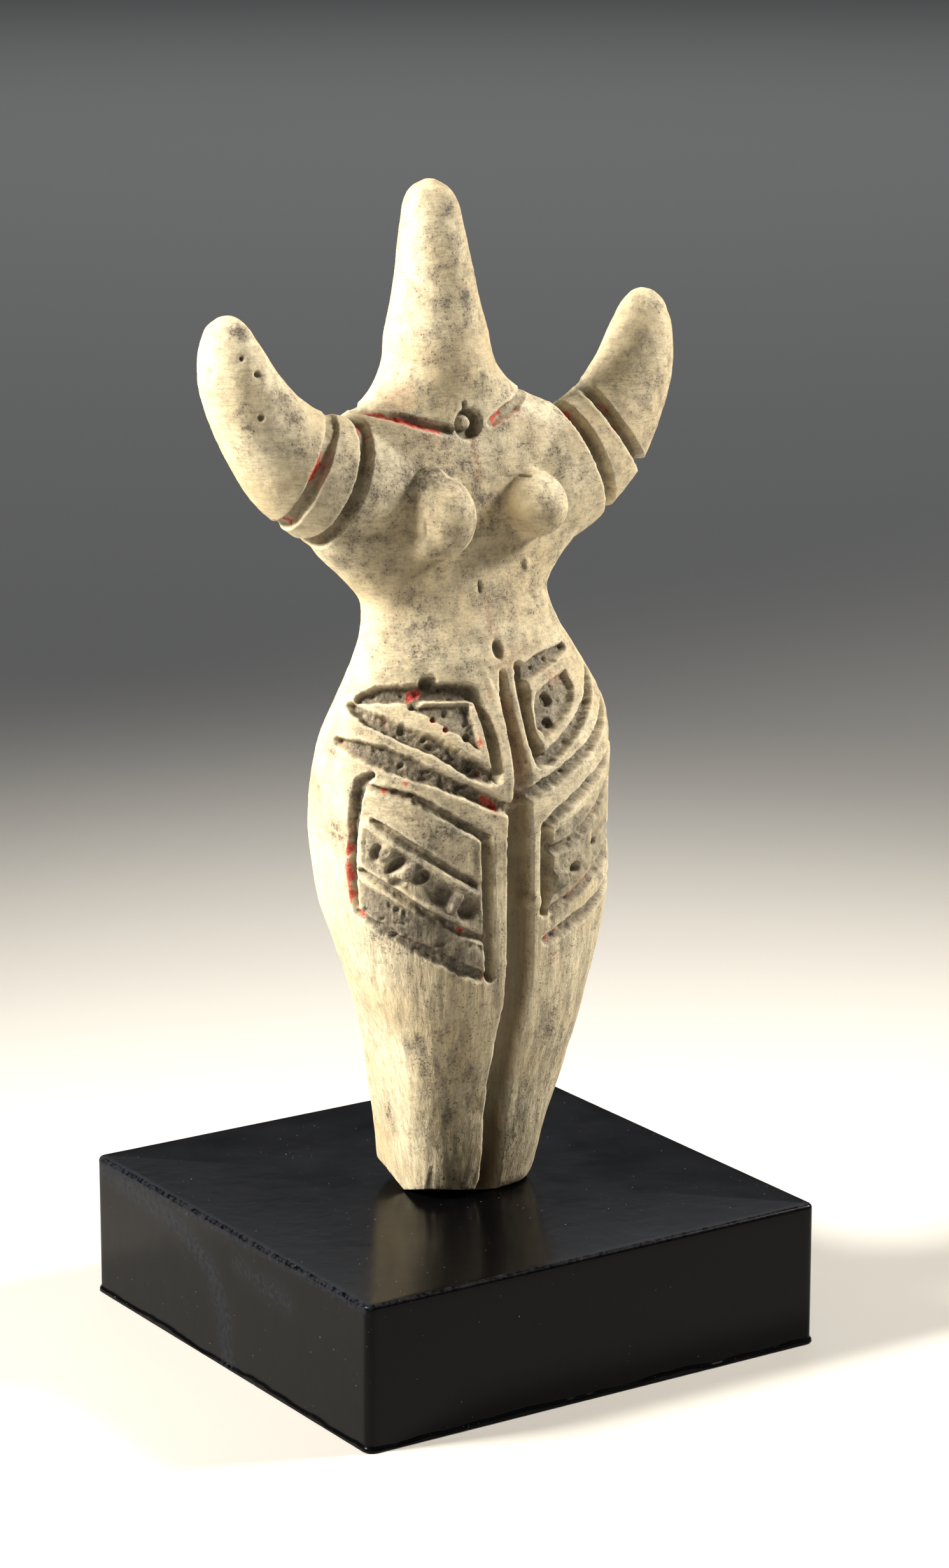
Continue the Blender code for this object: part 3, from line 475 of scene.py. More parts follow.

# What the clay carries: red paint left in the cuts, pink stains, grey soot and dirt, and painted shade laid
# in with the soot
markSettings = {
    # how much the edge wanders, the edge of paint and of a stain, and the strength from which it is paint
    "paintRagged": 0.4,
    "paintWall": 0.9,
    "stainWall": 1.8,
    "paintFrom": 0.6,
    # how fast a smudge fades out, and how many of its sizes are looked at
    "smudgeFade": 0.7,
    "smudgeReach": 2.5,
    # painted shade on what faces the front, broken by clouds: strength, how squarely what it lies on faces
    # the front and how fast it comes in there, and its clouds' share, size in mm and seed. On the arm on
    # the viewer's left there is less of this painted shade: how much less, from how far out, and over how
    # many mm that changes
    "frontShade": 0.36,
    "frontShadeFacing": (0.4, 1),
    "frontShadeClouds": (0.8, 12, 23),
    "armLess": (0.8, 29, 5),
    # strength, then places; a place is turn, height, width, or across, front to back, height, width
    "paint": (
        # belt
        (1, ((-63, 99.6, 1.9), (-60, 100.2, 1.9))), (0.9, ((-21, 96.9, 0.7), (-20, 96.1, 0.8))),
        (0.8, ((-18.8, 93.6, 0.5), (-18, 92.6, 0.5))), (0.9, ((-22.6, 92.4, 0.6), (-22.6, 90.4, 0.9))),
        (0.9, ((-51.2, 95.5, 0.8), (-50.6, 95.3, 0.8))), (0.9, ((-44.2, 93.7, 0.9), (-43.6, 93.5, 0.9))),
        (0.8, ((-23.2, 85.6, 0.9), (-22.6, 85.2, 0.9))), (1, ((-19.5, 80.2, 1.7), (-13, 78.5, 1.5))),
        (0.8, ((-85.4, 91, 0.5), (-84.6, 90.6, 0.5))), (0.9, ((21.6, 102, 0.8), (22.4, 101.6, 0.8))),
        # apron, viewer's left
        (1, ((-76.4, 75.6, 0.6), (-77.2, 71, 1), (-77.8, 66, 1.1), (-78.8, 60.8, 0.8))),
        (0.9, ((-77, 59.9, 0.8), (-74.5, 58.6, 0.7))), (1, ((-65.4, 83.1, 1), (-64.4, 82.9, 1))),
        (1, ((-57.4, 84.8, 0.7), (-56.8, 84.6, 0.7))), (0.9, ((-36, 56.3, 0.8), (-33.5, 55.8, 0.8))),
        (0.7, ((-25.5, 46.6, 0.6), (-24.5, 46.2, 0.6))),
        # apron, viewer's right
        (0.9, ((31.5, 59.2, 1), (38, 60.6, 1.1), (44, 62.2, 1))),
        (0.9, ((20.5, 53.4, 0.8), (20.5, 51.6, 0.9))), (0.7, ((26, 53.4, 0.8), (28.5, 53.2, 0.7))),
        (0.8, ((79, 67.4, 0.8), (80, 66, 0.8))),
        # necklace
        (0.86, (
            (-18.6, 1.6, 150.2, 1.1), (-15.4, -3.4, 149.6, 1.7), (-13.2, -5, 148.8, 1.5),
            (-10.6, -5.8, 147.9, 1.2), (-8.1, -6.3, 147.1, 0.9), (-6, -6.5, 146.6, 0.8))),
        (1, ((5.9, -6.5, 147.7, 1), (7.9, -6.1, 149, 1.1))),
        (0.75, (
            (5.6, -6.6, 146.6, 0.6), (8, -6.4, 147.2, 0.7), (10.4, -5.9, 148.2, 0.7),
            (13, -4.8, 149.6, 0.6))),
        # arm on the viewer's left
        (1, (
            (-31.2, -6.7, 145.2, 1.1), (-32.2, -7.1, 143.4, 1.8), (-33.2, -7.3, 141.7, 2.1),
            (-33.9, -7.1, 140.4, 1.5))),
        (1, ((-37.6, 0.4, 132.3, 0.9), (-36.3, -0.2, 131.3, 1.2), (-35.4, -1.5, 131.2, 1))),
        (0.9, ((-31.2, -0.5, 127.6, 0.9), (-30, -1.4, 127.3, 0.9))),
        (0.9, ((-20.5, -1.8, 149, 0.8), (-21.4, -3.8, 147.9, 0.8))),
        (0.9, ((-20.3, -4.5, 147.2, 0.6), (-19.9, -4.7, 147, 0.6))),
        # arm on the viewer's right
        (1, ((25.5, -0.8, 147.7, 0.9), (25.3, -4.6, 145.2, 1.1))),
        (0.9, ((31.2, -3.1, 148.4, 0.6), (32.6, -4.8, 147, 0.7))),
        (1, ((33.4, -6.3, 144.3, 0.8), (33.7, -6.6, 143.4, 0.8))),
        (0.8, ((31.8, -6, 130.4, 0.7), (32.6, -5.4, 129.6, 0.6))),
        # stains
        (0.45, ((5, 115.5, 1.4), (5.5, 112, 1.7), (6, 109, 1.8))),
        (0.5, ((8, 103.8, 1.8), (6.5, 101.5, 1.6))), (0.45, ((17, 106, 1.6), (20, 103, 2.6))),
        (0.4, ((-14, 100.5, 1.6), (-10, 98, 1.4))), (0.4, ((4.5, 97, 2.6), (3.5, 88, 3), (2, 79, 3))),
        (0.45, ((-73, 96.6, 1), (-69.5, 95.2, 1.2))), (0.42, ((49, 100.5, 2.4), (60, 98.6, 1.4))),
        (0.45, ((12.4, -3.4, 151.8, 1.6), (10.8, -3.4, 153.4, 1.2))),
        (0.4, ((-13, 8, 0.9), (-12, 3, 0.9))), (0.35, ((24, 49, 2.4), (30, 46, 2))),
        # the wide tan patch at the neck's left base on the next line is partly stain, partly painted shade
        (0.34, ((-15.4, -0.6, 152.6, 4), (-13, -2.6, 154.4, 6), (-12, -3.4, 153, 5))),
        (0.42, ((6, 145.2, 1.6), (7, 141, 2), (7.5, 136.5, 1.4))),
        (0.35, ((-10, -6.2, 145.6, 1.6), (-7, -6.8, 145.4, 1.4))),
    ),
    # turn, height, half width, half height, strength; grey soot smudges, with painted shade among them
    "soot": (
        (-81, 74.4, 2.6, 2, 1), (-95, 81, 3, 2, 0.6), (-88, 89.3, 1.6, 2, 0.5), (-60, 33.7, 2.6, 3, 1),
        (-54, 29, 2, 5, 0.9), (-42, 18.2, 1.6, 2.4, 1), (-50, 41.6, 3, 3, 0.6), (-41, 22.5, 1, 2.6, 0.6),
        (-92, 15.3, 1.6, 4, 0.7), (29, 34.4, 1.8, 6, 0.9), (15, 11.8, 1.8, 5, 0.9), (22, 20, 2, 7, 0.6),
        (-62, 62, 3.5, 3, 0.6), (-52, 58, 4, 3, 0.8), (-40, 51, 5, 2, 0.8), (-66, 73, 1.6, 3, 0.7),
        (-53, 76.5, 3.5, 2, 0.4), (-42, 72, 3, 2.5, 0.4), (-40, 108, 6, 5, 0.5), (-60, 113, 4, 7, 0.7),
        # on the next line, the narrow upright patch at turn 7, height 142 is a painted shadow along the
        # furrow under the bead
        (-30, 104.5, 4, 2, 0.6), (30, 112, 4, 6, 0.6), (-25, 126, 6, 4, 0.5), (7, 142, 1.4, 4, 0.9),
        (-38, 141.5, 6, 3, 0.6), (-60, 140, 4, 6, 0.5), (22, 131, 2.5, 4, 0.7),
        # on the next line, the patch at turn -58, height 149.8 is painted shade at the neck's left base
        (66, 140.6, 2.6, 1.4, 0.9), (62, 134, 5, 7, 0.5), (-58, 149.8, 2.6, 1, 1),
        (-42, 148.8, 3.4, 0.8, 1), (-72, 154.3, 2.4, 1.8, 0.6), (18, 155, 1.6, 2, 1),
        # on the next line, the tall strips at turns 12 and -18 are painted shade down the head's front
        (12, 169, 2, 13, 0.8), (-18, 168, 2.4, 14, 0.6), (5, 186.4, 2, 1.4, 0.9), (-6, 158, 7, 5, 0.5),
        (52, 52, 5, 3, 0.5), (-62, 58.4, 4, 2, 1), (-50, 53, 4, 1.6, 1), (-36, 48, 4, 1.2, 0.9),
        (-74.5, 81, 1.4, 3, 1), (-75.5, 74, 1.2, 3, 1), (-77, 67, 1.2, 3, 0.9), (-64, 88.6, 3, 1.2, 0.8),
        # on this line and the next, the wide patches at turns -40, -52, -36 and -56, heights 57 to 76, are
        # painted shade on the apron's panel
        (-48, 85.6, 5, 1.6, 1), (-30, 87, 4, 1.2, 0.9), (-40, 76, 7, 3, 0.9), (-52, 70, 8, 4, 0.9),
        (-36, 62, 7, 5, 0.9), (-56, 57, 7, 5, 0.9), (-34, 40, 7, 12, 0.5), (-38, 14, 6, 10, 0.5),
        # from here to the end, the patches on the chest beside and between the breasts are partly soot,
        # partly painted shade
        (-28, 139, 6, 5, 0.6), (-24, 131, 3, 6, 0.6), (-48, 139.5, 7, 4, 0.9), (-12, 141, 5, 3, 0.8),
        (6, 134, 2.5, 6, 0.8)),
    # the same on the arms: across, front to back, height, radius, strength
    "armSoot": (
        (-45.7, -3.3, 153.2, 1.4, 0.9), (-45.2, -3.3, 149.9, 1.4, 0.9), (-45.2, -1.7, 145.4, 1.4, 0.7),
        (-36.6, -5.1, 151.1, 2.8, 0.8), (-44.6, -0.1, 166.8, 1.6, 0.9), (-37.9, -3.6, 155.4, 3.4, 0.5),
        (-36.4, -5.9, 148.3, 2.6, 0.6), (-33.9, -6.5, 146.3, 3, 0.5), (-43.5, -3.4, 158.7, 2.6, 0.4),
        (38, -6, 152, 4, 0.7), (41, -4, 160, 4, 0.5), (30, -7.5, 139, 3, 0.4)),
}


def fallOff(inside, wall):
    # 0 outside a wall of this width and 1 inside it, with a smooth step between
    t = np.clip(inside / wall + 0.5, 0, 1)
    return t * t * (3 - 2 * t)


def noiseAt(points, size, seed):
    # Smooth noise from about -1 to 1, with lumps of this size in millimetres
    scaled = points / np.array(size) + (seed, 2 * seed, -seed)
    return np.array([noise.noise(place) for place in scaled.tolist()])


def noisesAt(points, rows):
    return sum(strength * noiseAt(points, size, seed) for strength, size, seed in rows)


def lengths(vectors):
    return np.linalg.norm(vectors, axis=1)


def alongRun(points, start, end):
    # How far along the run from start to end each point lies, as a share, and how far it is from it
    run = end - start
    share = np.clip((points - start) @ run / (run @ run + nothing), 0, 1)
    return share, lengths(points - start - share[:, None] * run)


def readVectors(items, name):
    flat = np.empty(len(items) * 3, np.float32)
    items.foreach_get(name, flat)
    return flat.reshape(-1, 3).astype(float)


def raiseTo(field, near, values):
    # Each of the near points keeps the larger of its own value and the new one
    field[near] = np.maximum(field[near], values)


class Clay:
    # The figure's points in drawn millimetres, with what the carving and the marks do to each
    def __init__(self, piece, settings):
        self.settings = settings
        self.piece = piece
        self.points = readVectors(piece.data.vertices, "co") / unit
        self.normals = readVectors(piece.data.vertex_normals, "vector")
        count = len(self.points)
        mesh = bmesh.new()
        mesh.from_mesh(piece.data)
        self.surface = BVHTree.FromBMesh(mesh)
        mesh.free()
        sections = smoothRows(formSettings["bodySections"], self.points[:, 2])
        across, forward = self.points[:, 0] - sections[:, 1], sections[:, 2] - self.points[:, 1]
        self.turns = np.degrees(np.arctan2(across, forward))
        self.wander = noisesAt(self.points, settings["wander"])
        self.depth = np.zeros(count)    # mm sunk below the plain surface
        self.raised = np.zeros(count)   # mm stood up above it
        self.fill = np.zeros(count)     # grey grit in the carving
        self.rim = np.zeros(count)      # painted highlight along the edges
        self.pigment = np.zeros(count)  # red paint
        self.soot = np.zeros(count)     # grey smudges and painted shade

    def placeOn(self, turn, height):
        # Where a level ray from the body's middle line comes out of the surface
        row = smoothRows(formSettings["bodySections"], [height])[0]
        angle = math.radians(turn)
        start = Vector((row[1], row[2], height)) * unit
        found = self.surface.ray_cast(start, Vector((math.sin(angle), -math.cos(angle), 0)))[0]
        return None if found is None else np.array(found) / unit

    def nearestOn(self, place):
        return np.array(self.surface.find_nearest(Vector(place) * unit)[0]) / unit

    def pathOn(self, places):
        # Points along the surface between places, each with what the place's later numbers become there
        onBody = len(places[0]) == 3
        spread = np.array((self.settings["mmPerDegree"], 1) if onBody else (1, 1, 1))
        places = np.array(places, float)
        stops = [places[0]]
        for start, end in zip(places, places[1:]):
            length = np.linalg.norm((end - start)[:len(spread)] * spread)
            stops.extend(np.linspace(start, end, math.ceil(length / self.settings["pathStep"]) + 1)[1:])
        path, rest = [], []
        for stop in stops:
            place = self.placeOn(stop[0], stop[1]) if onBody else self.nearestOn(stop[:3])
            if place is not None:
                path.append(place)
                rest.append(stop[len(spread):])
        return np.array(path), np.array(rest)

    def near(self, low, high, margin):
        inside = np.all(self.points > np.array(low) - margin, axis=1)
        return np.where(inside & np.all(self.points < np.array(high) + margin, axis=1))[0]

    def around(self, centre, reach):
        # The points near a place, and where they lie from it
        near = self.near(centre, centre, reach)
        return near, self.points[near] - centre

    def insidePath(self, path, widths):
        # For the points near a path: how far inside the mark's edge they are, in mm
        near = self.near(path.min(axis=0), path.max(axis=0), widths.max() + self.settings["margin"])
        inside = np.full(len(near), -np.inf)
        for start, end, first, last in zip(path, path[1:], widths, widths[1:]):
            share, gap = alongRun(self.points[near], start, end)
            inside = np.maximum(inside, (first + (last - first) * share) / 2 - gap)
        return near, inside

    def insideStroke(self, places):
        path, rest = self.pathOn(places)
        return self.insidePath(path, rest[:, 0])

    def cutFlats(self):
        for normal, offset, top in self.settings["flats"].values():
            over = np.maximum(self.points @ np.array(normal) - offset, 0)
            over *= fallOff(top - self.points[:, 2], self.settings["flatFade"])
            self.points -= over[:, None] * np.array(normal)

    def sink(self, near, inside, depth, grit, lip=1):
        own = self.settings
        inside = inside + (own["ragged"] + grit * own["gritRagged"]) * self.wander[near]
        raiseTo(self.depth, near, depth * fallOff(inside, own["wall"]))
        raiseTo(self.fill, near, grit * fallOff(inside - own["gritInset"], own["gritWall"]))
        edge = lip * np.exp(-((inside + own["lipPlace"]) / own["lipWidth"]) ** 2)
        raiseTo(self.raised, near, own["lip"] * edge)
        # the rim value is a painted highlight along the groove's edge
        raiseTo(self.rim, near, edge)

    def cutFields(self):
        scale = (self.settings["mmPerDegree"], 1)
        margin = self.settings["fieldMargin"]
        places = np.stack([self.turns, self.points[:, 2]], axis=1)
        for depth, grit, corners in self.settings["fields"].values():
            corners = np.array(corners, float)
            close = (places > corners.min(axis=0) - margin) & (places < corners.max(axis=0) + margin)
            near = np.where(np.all(close, axis=1))[0]
            inside = np.full(len(near), np.inf)
            middle = corners.mean(axis=0)
            for start, end in zip(corners, np.roll(corners, -1, axis=0)):
                run = (end - start) * scale
                across = np.array((-run[1], run[0])) / np.linalg.norm(run)
                across *= np.sign(across @ ((middle - start) * scale))
                inside = np.minimum(inside, ((places[near] - start) * scale) @ across)
            self.sink(near, inside, depth, grit, self.settings["fieldLip"])

    def cutLines(self):
        for depth, grit, places in self.settings["lines"].values():
            self.sink(*self.insideStroke(places), depth, grit)

    def leaveRidges(self):
        own = self.settings
        for height, places in own["ridges"].values():
            near, inside = self.insideStroke(places)
            share = fallOff(inside + own["ridgeRagged"] * self.wander[near], own["ridgeWall"])
            self.depth[near] *= 1 - share
            self.fill[near] *= 1 - share
            raiseTo(self.raised, near, height * share)
            raiseTo(self.rim, near, own["ridgeHighlight"] * share)

    def cutPits(self):
        own = self.settings
        for turn, height, halfLength, halfWidth, slant, depth in own["pits"]:
            near, offset = self.around(self.placeOn(turn, height), halfLength + own["margin"])
            angle, slant = math.radians(turn), math.radians(slant)
            level = offset @ np.array((math.cos(angle), math.sin(angle), 0))
            along = level * math.cos(slant) + offset[:, 2] * math.sin(slant)
            aside = offset[:, 2] * math.cos(slant) - level * math.sin(slant)
            outward = np.abs(offset @ np.array((math.sin(angle), -math.cos(angle), 0)))
            reach = np.sqrt((along / halfLength) ** 2 + (aside / halfWidth) ** 2)
            self.press(near, fallOff(1 - reach, own["pitWall"]) * (outward < own["pitReach"]), depth)

    def cutArmPits(self):
        for x, y, z, radius, depth in self.settings["armPits"]:
            near, offset = self.around(self.nearestOn((x, y, z)), radius + self.settings["margin"])
            self.press(near, fallOff(radius - lengths(offset), self.settings["armPitWall"]), depth)

    def press(self, near, share, depth):
        # Sinks a pit to its depth, or pushes up a bump where the depth is below zero
        if depth > 0:
            raiseTo(self.depth, near, depth * share)
            raiseTo(self.fill, near, self.settings["pitGrit"] * share)
        else:
            self.depth[near] *= 1 - share
            raiseTo(self.raised, near, -depth * share)

    def cutArmRings(self):
        own = self.settings
        out, low = own["ringsFrom"]
        for normal, offset, width, depth in own["armRings"].values():
            sameSide = np.sign(normal[0]) == np.sign(self.points[:, 0])
            near = np.where(sameSide & (abs(self.points[:, 0]) > out) & (self.points[:, 2] > low))[0]
            gap = np.abs(self.points[near] @ np.array(normal) - offset)
            atFront = fallOff(1 - self.points[near, 1], own["ringsFade"])
            below = fallOff(own["ringsTop"] - self.points[near, 2], own["ringsFade"])
            share = own["ringsBack"] + (1 - own["ringsBack"]) * atFront
            share *= own["ringsOver"] + (1 - own["ringsOver"]) * below
            self.sink(near, width / 2 - gap, depth * share, own["ringGrit"])

    def cutNecklace(self):
        for places in self.settings["necklace"]:
            path, rest = self.pathOn(places)
            near, inside = self.insidePath(path, rest[:, 0])
            nearest = np.argmin([lengths(self.points[near] - place) for place in path], axis=0)
            self.sink(near, inside, rest[nearest, 1], self.settings["necklaceGrit"])
        bead = self.settings["bead"]
        near, offset = self.around(self.placeOn(bead["turn"], bead["height"]), bead["margin"])
        away = lengths(offset)
        disc = fallOff(bead["radius"] - away, bead["wall"])
        nub = fallOff(bead["nubRadius"] - lengths(offset - bead["nubShift"]), bead["nubWall"])
        ring = disc * (1 - bead["nubShare"] * nub)
        deep = bead["depth"] + bead["deeper"] * fallOff(offset[:, 0], bead["fade"])
        self.depth[near] = np.maximum(self.depth[near] * (1 - disc), deep * ring)
        raiseTo(self.fill, near, bead["grit"] * ring)
        beyond = bead["radius"] + bead["rimPlace"] - away
        raiseTo(self.rim, near, np.exp(-(beyond / bead["rimWidth"]) ** 2))

    def addMarks(self, marks):
        for strength, places in marks["paint"]:
            near, inside = self.insideStroke(places)
            wall = marks["paintWall"] if strength > marks["paintFrom"] else marks["stainWall"]
            share = fallOff(inside + marks["paintRagged"] * self.wander[near], wall)
            raiseTo(self.pigment, near, strength * share)
        # soot smudges; the wide patches on the apron's panel, the head's front strips, the neck's left base
        # and the chest patches are painted shade
        for turn, height, halfWidth, halfHeight, strength in marks["soot"]:
            reach = marks["smudgeReach"] * max(halfWidth, halfHeight)
            near, offset = self.around(self.placeOn(turn, height), reach)
            level = np.hypot(offset[:, 0], offset[:, 1]) / halfWidth
            away = level ** 2 + (offset[:, 2] / halfHeight) ** 2
            raiseTo(self.soot, near, strength * np.exp(-marks["smudgeFade"] * away))
        for x, y, z, radius, strength in marks["armSoot"]:
            near, offset = self.around((x, y, z), marks["smudgeReach"] * radius)
            away = (lengths(offset) / radius) ** 2
            raiseTo(self.soot, near, strength * np.exp(-marks["smudgeFade"] * away))
        # painted shade: darker where the surface faces the front, broken by clouds, less on the arm on the
        # viewer's left, laid in with the soot
        start, fade = marks["frontShadeFacing"]
        share, size, seed = marks["frontShadeClouds"]
        frontShade = marks["frontShade"] * fallOff(-self.normals[:, 1] - start, fade)
        frontShade = frontShade * (1 + share * noiseAt(self.points, size, seed))
        less, out, fade = marks["armLess"]
        frontShade *= 1 - less * fallOff(-self.points[:, 0] - out, fade)
        self.soot = np.maximum(self.soot, frontShade)

    def roughen(self):
        # Hand-worked unevenness, upright smoothing strokes on the legs, and grit in the carving
        own = self.settings
        points = self.points
        legs = fallOff(own["legTop"] - points[:, 2], own["legFade"]) * (1 - np.clip(self.depth, 0, 1))
        uneven, strokes = noisesAt(points, own["uneven"]), noisesAt(points, own["strokes"])
        self.raised += uneven + strokes * legs + noisesAt(points, own["worked"]) * (1 - legs)
        depth, size, seed, start, fade = own["gritHoles"]
        holes = depth * fallOff(noiseAt(points, size, seed) - start, fade)
        self.raised += self.fill * (noisesAt(points, own["grit"]) - holes)

    def finish(self):
        fade = fallOff(self.points[:, 2] - self.settings["soleTop"], self.settings["soleFade"])
        self.normals[:, 2] *= fade
        moved = self.points + self.normals * (self.raised - self.depth)[:, None]
        moved[:, 2] = np.clip(moved[:, 2], 0, drawnHeight)
        place = moved * unit + np.array((0, 0, figureLow.z))
        data = self.piece.data
        data.vertices.foreach_set("co", place.astype(np.float32).ravel())
        keepMasks(data, {
            "fill": self.fill, "rim": self.rim, "pigment": self.pigment, "soot": self.soot,
            "hollow": self.depth,
        })
        data.update()
        thin = self.piece.modifiers.new("thinOut", "DECIMATE")
        triangles = 2 * len(data.polygons)
        thin.ratio = min(1, formSettings["triangles"] / triangles)
        print("figure carved:", triangles, "triangles before thinning")
        bakeModifiers(self.piece)
        self.piece.data.shade_smooth()


# Fired clay, shaped and smoothed by hand: matt and buff, with fine dark grains, upright strokes on the
# legs, grey grit in the cuts, soot in patches and red ochre left in a few cuts; painted shade lies with
# the soot, on the front and deep in the cuts, and painted highlight along the edges and ridge tops
claySettings = {
    "colours": {
        "pale": "#EEE2C0",
        "warm": "#D6C49C",
        "dull": "#A4947A",
        "grain": "#50473B",
        "soot": "#7B7366",
        # painted shade for the deep cuts
        "dirt": "#7A6A50",
        # pale colour of the painted highlight on edges and ridge tops
        "rim": "#EFE7D0",
        "gritDark": "#48433A",
        "gritPale": "#928B7A",
        "red": "#A82A1E",
        "redPale": "#CB6152",
        "stain": "#CF8C70",
    },
    "masks": ("fill", "rim", "pigment", "soot", "hollow"),
    # along the upright strokes and the slanting brush marks: scale, and turn in radians
    "spaces": {"upright": ((1, 1, 0.1), (0, 0, 0)), "slanting": ((0.16, 0.16, 1), (0, 0.35, 0))},
    # lumps of 14 mm, patches of 3 mm, strokes and brush marks 0.6 mm wide, grit of 0.6 mm, streaks of 2 mm:
    # where, how many to a mm, detail, roughness
    "noises": {
        "clouds": ("mm", 0.07, 3, 0.5),
        "patches": ("mm", 0.33, 5, 0.68),
        "strokes": ("upright", 1.6, 4, 0.7),
        "brushed": ("slanting", 1.8, 4, 0.7),
        "grit": ("mm", 1.6, 4, 0.7),
        "streaks": ("upright", 0.5, 5, 0.65),
    },
    # grains stand in cells of 0.4 mm and spots in cells of 2 mm, bent out of round by noise of 0.9 mm
    "cells": {"grain": 2.3, "spot": 0.5},
    "bend": 0.9,
    # each row adds a node to what was made before; a MapRange takes its value, the two ends that it reads
    # and the two ends that it gives
    "nodes": {
        "onLegs": ("MapRange", "height", 0.105, 0.08, 0.15, 1),
        "offLegs": ("SUBTRACT", 1, "onLegs"),
        # the bare clay: pale to warm in lumps, duller in patches and along the strokes
        "lumps": ("MapRange", "clouds", 0.36, 0.64),
        "dull": ("MapRange", "patches", 0.46, 0.68, 0, 0.48),
        "strokeLines": ("MapRange", "strokes", 0.47, 0.66, 0, 0.62),
        "legLines": ("MULTIPLY", "strokeLines", "onLegs"),
        "brushLines": ("MapRange", "brushed", 0.5, 0.68, 0, 0.6),
        "lined": ("MULTIPLY_ADD", "brushLines", "offLegs", "legLines"),
        # soot and painted shade lie in soft mottled patches, and grains and spots are bigger and darker
        # where they do
        "dirty": ("MULTIPLY_ADD", "clouds", 0.5, "soot"),
        "drift": ("Mix", "onLegs", None, "patches", "streaks"),
        "mottled": ("MapRange", "drift", 0.4, 0.66, 0.26, 1),
        "smudged": ("MULTIPLY", "mottled", "dirty"),
        "sooty": ("MULTIPLY", "smudged", 1.05),
        "clusters": ("MapRange", "patches", 0.4, 0.6, 0.35, 1.25),
        "clustered": ("MULTIPLY", "clusters", "dirty"),
        "grainReach": ("MULTIPLY", "grainSize", "clustered"),
        "grainRadius": ("MULTIPLY_ADD", "grainReach", 0.8, -0.06),
        "grainInside": ("SUBTRACT", "grainRadius", "grainGap"),
        "grains": ("MapRange", "grainInside", -0.06, 0.14, 0, 0.68),
        "spotReach": ("MapRange", "spotSize", 0.75, 1, 0, 0.45),
        "spotRadius": ("MULTIPLY", "spotReach", "dirty"),
        "spotInside": ("SUBTRACT", "spotRadius", "spotGap"),
        "spots": ("MapRange", "spotInside", -0.04, 0.14, 0, 0.7),
        "grainsAndSpots": ("MAXIMUM", "grains", "spots"),
        "specks": ("MapRange", "grit", 0.5, 0.72, 0, 0.8),
        "dirtSpecks": ("MULTIPLY", "specks", "dirty"),
        "grainy": ("MAXIMUM", "grainsAndSpots", "dirtSpecks"),
        # painted shade deep in the cuts, darker brown the deeper they are; painted highlight making the
        # edges a little paler; and grey grit packed in
        "deep": ("MapRange", "hollow", 0.4, 2.3, 0, 0.75),
        "rimPatches": ("MULTIPLY", "rim", "patches"),
        "edgeHighlight": ("MapRange", "rimPatches", 0.2, 0.7, 0, 0.4),
        "gritty": ("MapRange", "grit", 0.36, 0.64),
        "packing": ("MapRange", "patches", 0.3, 0.6, 0.5, 0.95),
        "packed": ("MULTIPLY", "packing", "fill"),
        "gritInSootAndShade": ("MULTIPLY", "fill", "sooty"),
        # red ochre, pale and broken where it is thin, and pink where only a stain is left
        "staining": ("MapRange", "pigment", 0.05, 0.7, 0, 0.6),
        "stained": ("MULTIPLY", "staining", "gritty"),
        "broken": ("MULTIPLY_ADD", "patches", 0.9, "pigment"),
        "painted": ("MapRange", "broken", 1.02, 1.3, 0, 0.95),
        "gloss": ("MapRange", "patches", 0.3, 0.7, 0.55, 0.8),
        # relief: strokes and brush marks, grit, grains that are small pits, and grit packed in the cuts
        "strokeRelief": ("MULTIPLY", "strokes", "onLegs"),
        "brushRelief": ("MULTIPLY", "brushed", "offLegs"),
        "linedRelief": ("MULTIPLY_ADD", "brushRelief", 0.7, "strokeRelief"),
        "grittyRelief": ("MULTIPLY_ADD", "grit", 0.5, "linedRelief"),
        "grainRelief": ("MULTIPLY_ADD", "grainy", -0.45, "grittyRelief"),
        "packedRelief": ("MULTIPLY", "fill", "grit"),
        "relief": ("MULTIPLY_ADD", "packedRelief", 1.4, "grainRelief"),
    },
    # colours that run from one to another by a mask
    "blends": {
        "ground": ("lumps", "warm", "pale"),
        "grit": ("gritty", "gritDark", "gritPale"),
        "ochre": ("gritty", "red", "redPale"),
    },
    # the mask, and the colour or blend that it lets through, one over another
    "layers": (
        ("dull", "dull"), ("lined", "dull"), ("sooty", "soot"), ("grainy", "grain"), ("deep", "dirt"),
        ("edgeHighlight", "rim"), ("packed", "grit"), ("gritInSootAndShade", "grain"), ("stained", "stain"),
        ("painted", "ochre"),
    ),
    "bump": (1, 0.21),   # strength, and mm of relief
    "specular": 0.35,
}


def clayMaterial(settings):
    material, tree, shader, made = startMaterial("firedClayHandSmoothed", settings)
    made["height"] = addNode(tree, "SeparateXYZ", None, {0: made["place"]}, "Z")
    bend = {"operation": "MULTIPLY_ADD", 1: [settings["bend"]] * 3}
    wavy = addNode(tree, "VectorMath", bend, {0: made["grit"].node.outputs["Color"], 2: made["mm"]})
    for name, scale in settings["cells"].items():
        gap = addNode(tree, "TexVoronoi", {"Scale": scale}, {"Vector": wavy}, "Distance")
        made[name + "Gap"] = gap
        made[name + "Size"] = addNode(tree, "SeparateColor", None, {0: gap.node.outputs["Color"]})
    finishMaterial(tree, shader, made, settings)
    return material


figure = makeForm(formSettings)
print("figure fused:", len(figure.data.polygons), "faces")
clay = Clay(figure, carvingSettings)
clay.cutFlats()
clay.cutFields()
clay.cutLines()
clay.leaveRidges()
clay.cutPits()
clay.cutArmPits()
clay.cutArmRings()
clay.cutNecklace()
clay.addMarks(markSettings)
clay.roughen()
clay.finish()
figure.data.materials.append(clayMaterial(claySettings))
print("figurine ready:", len(figure.data.polygons), "faces")


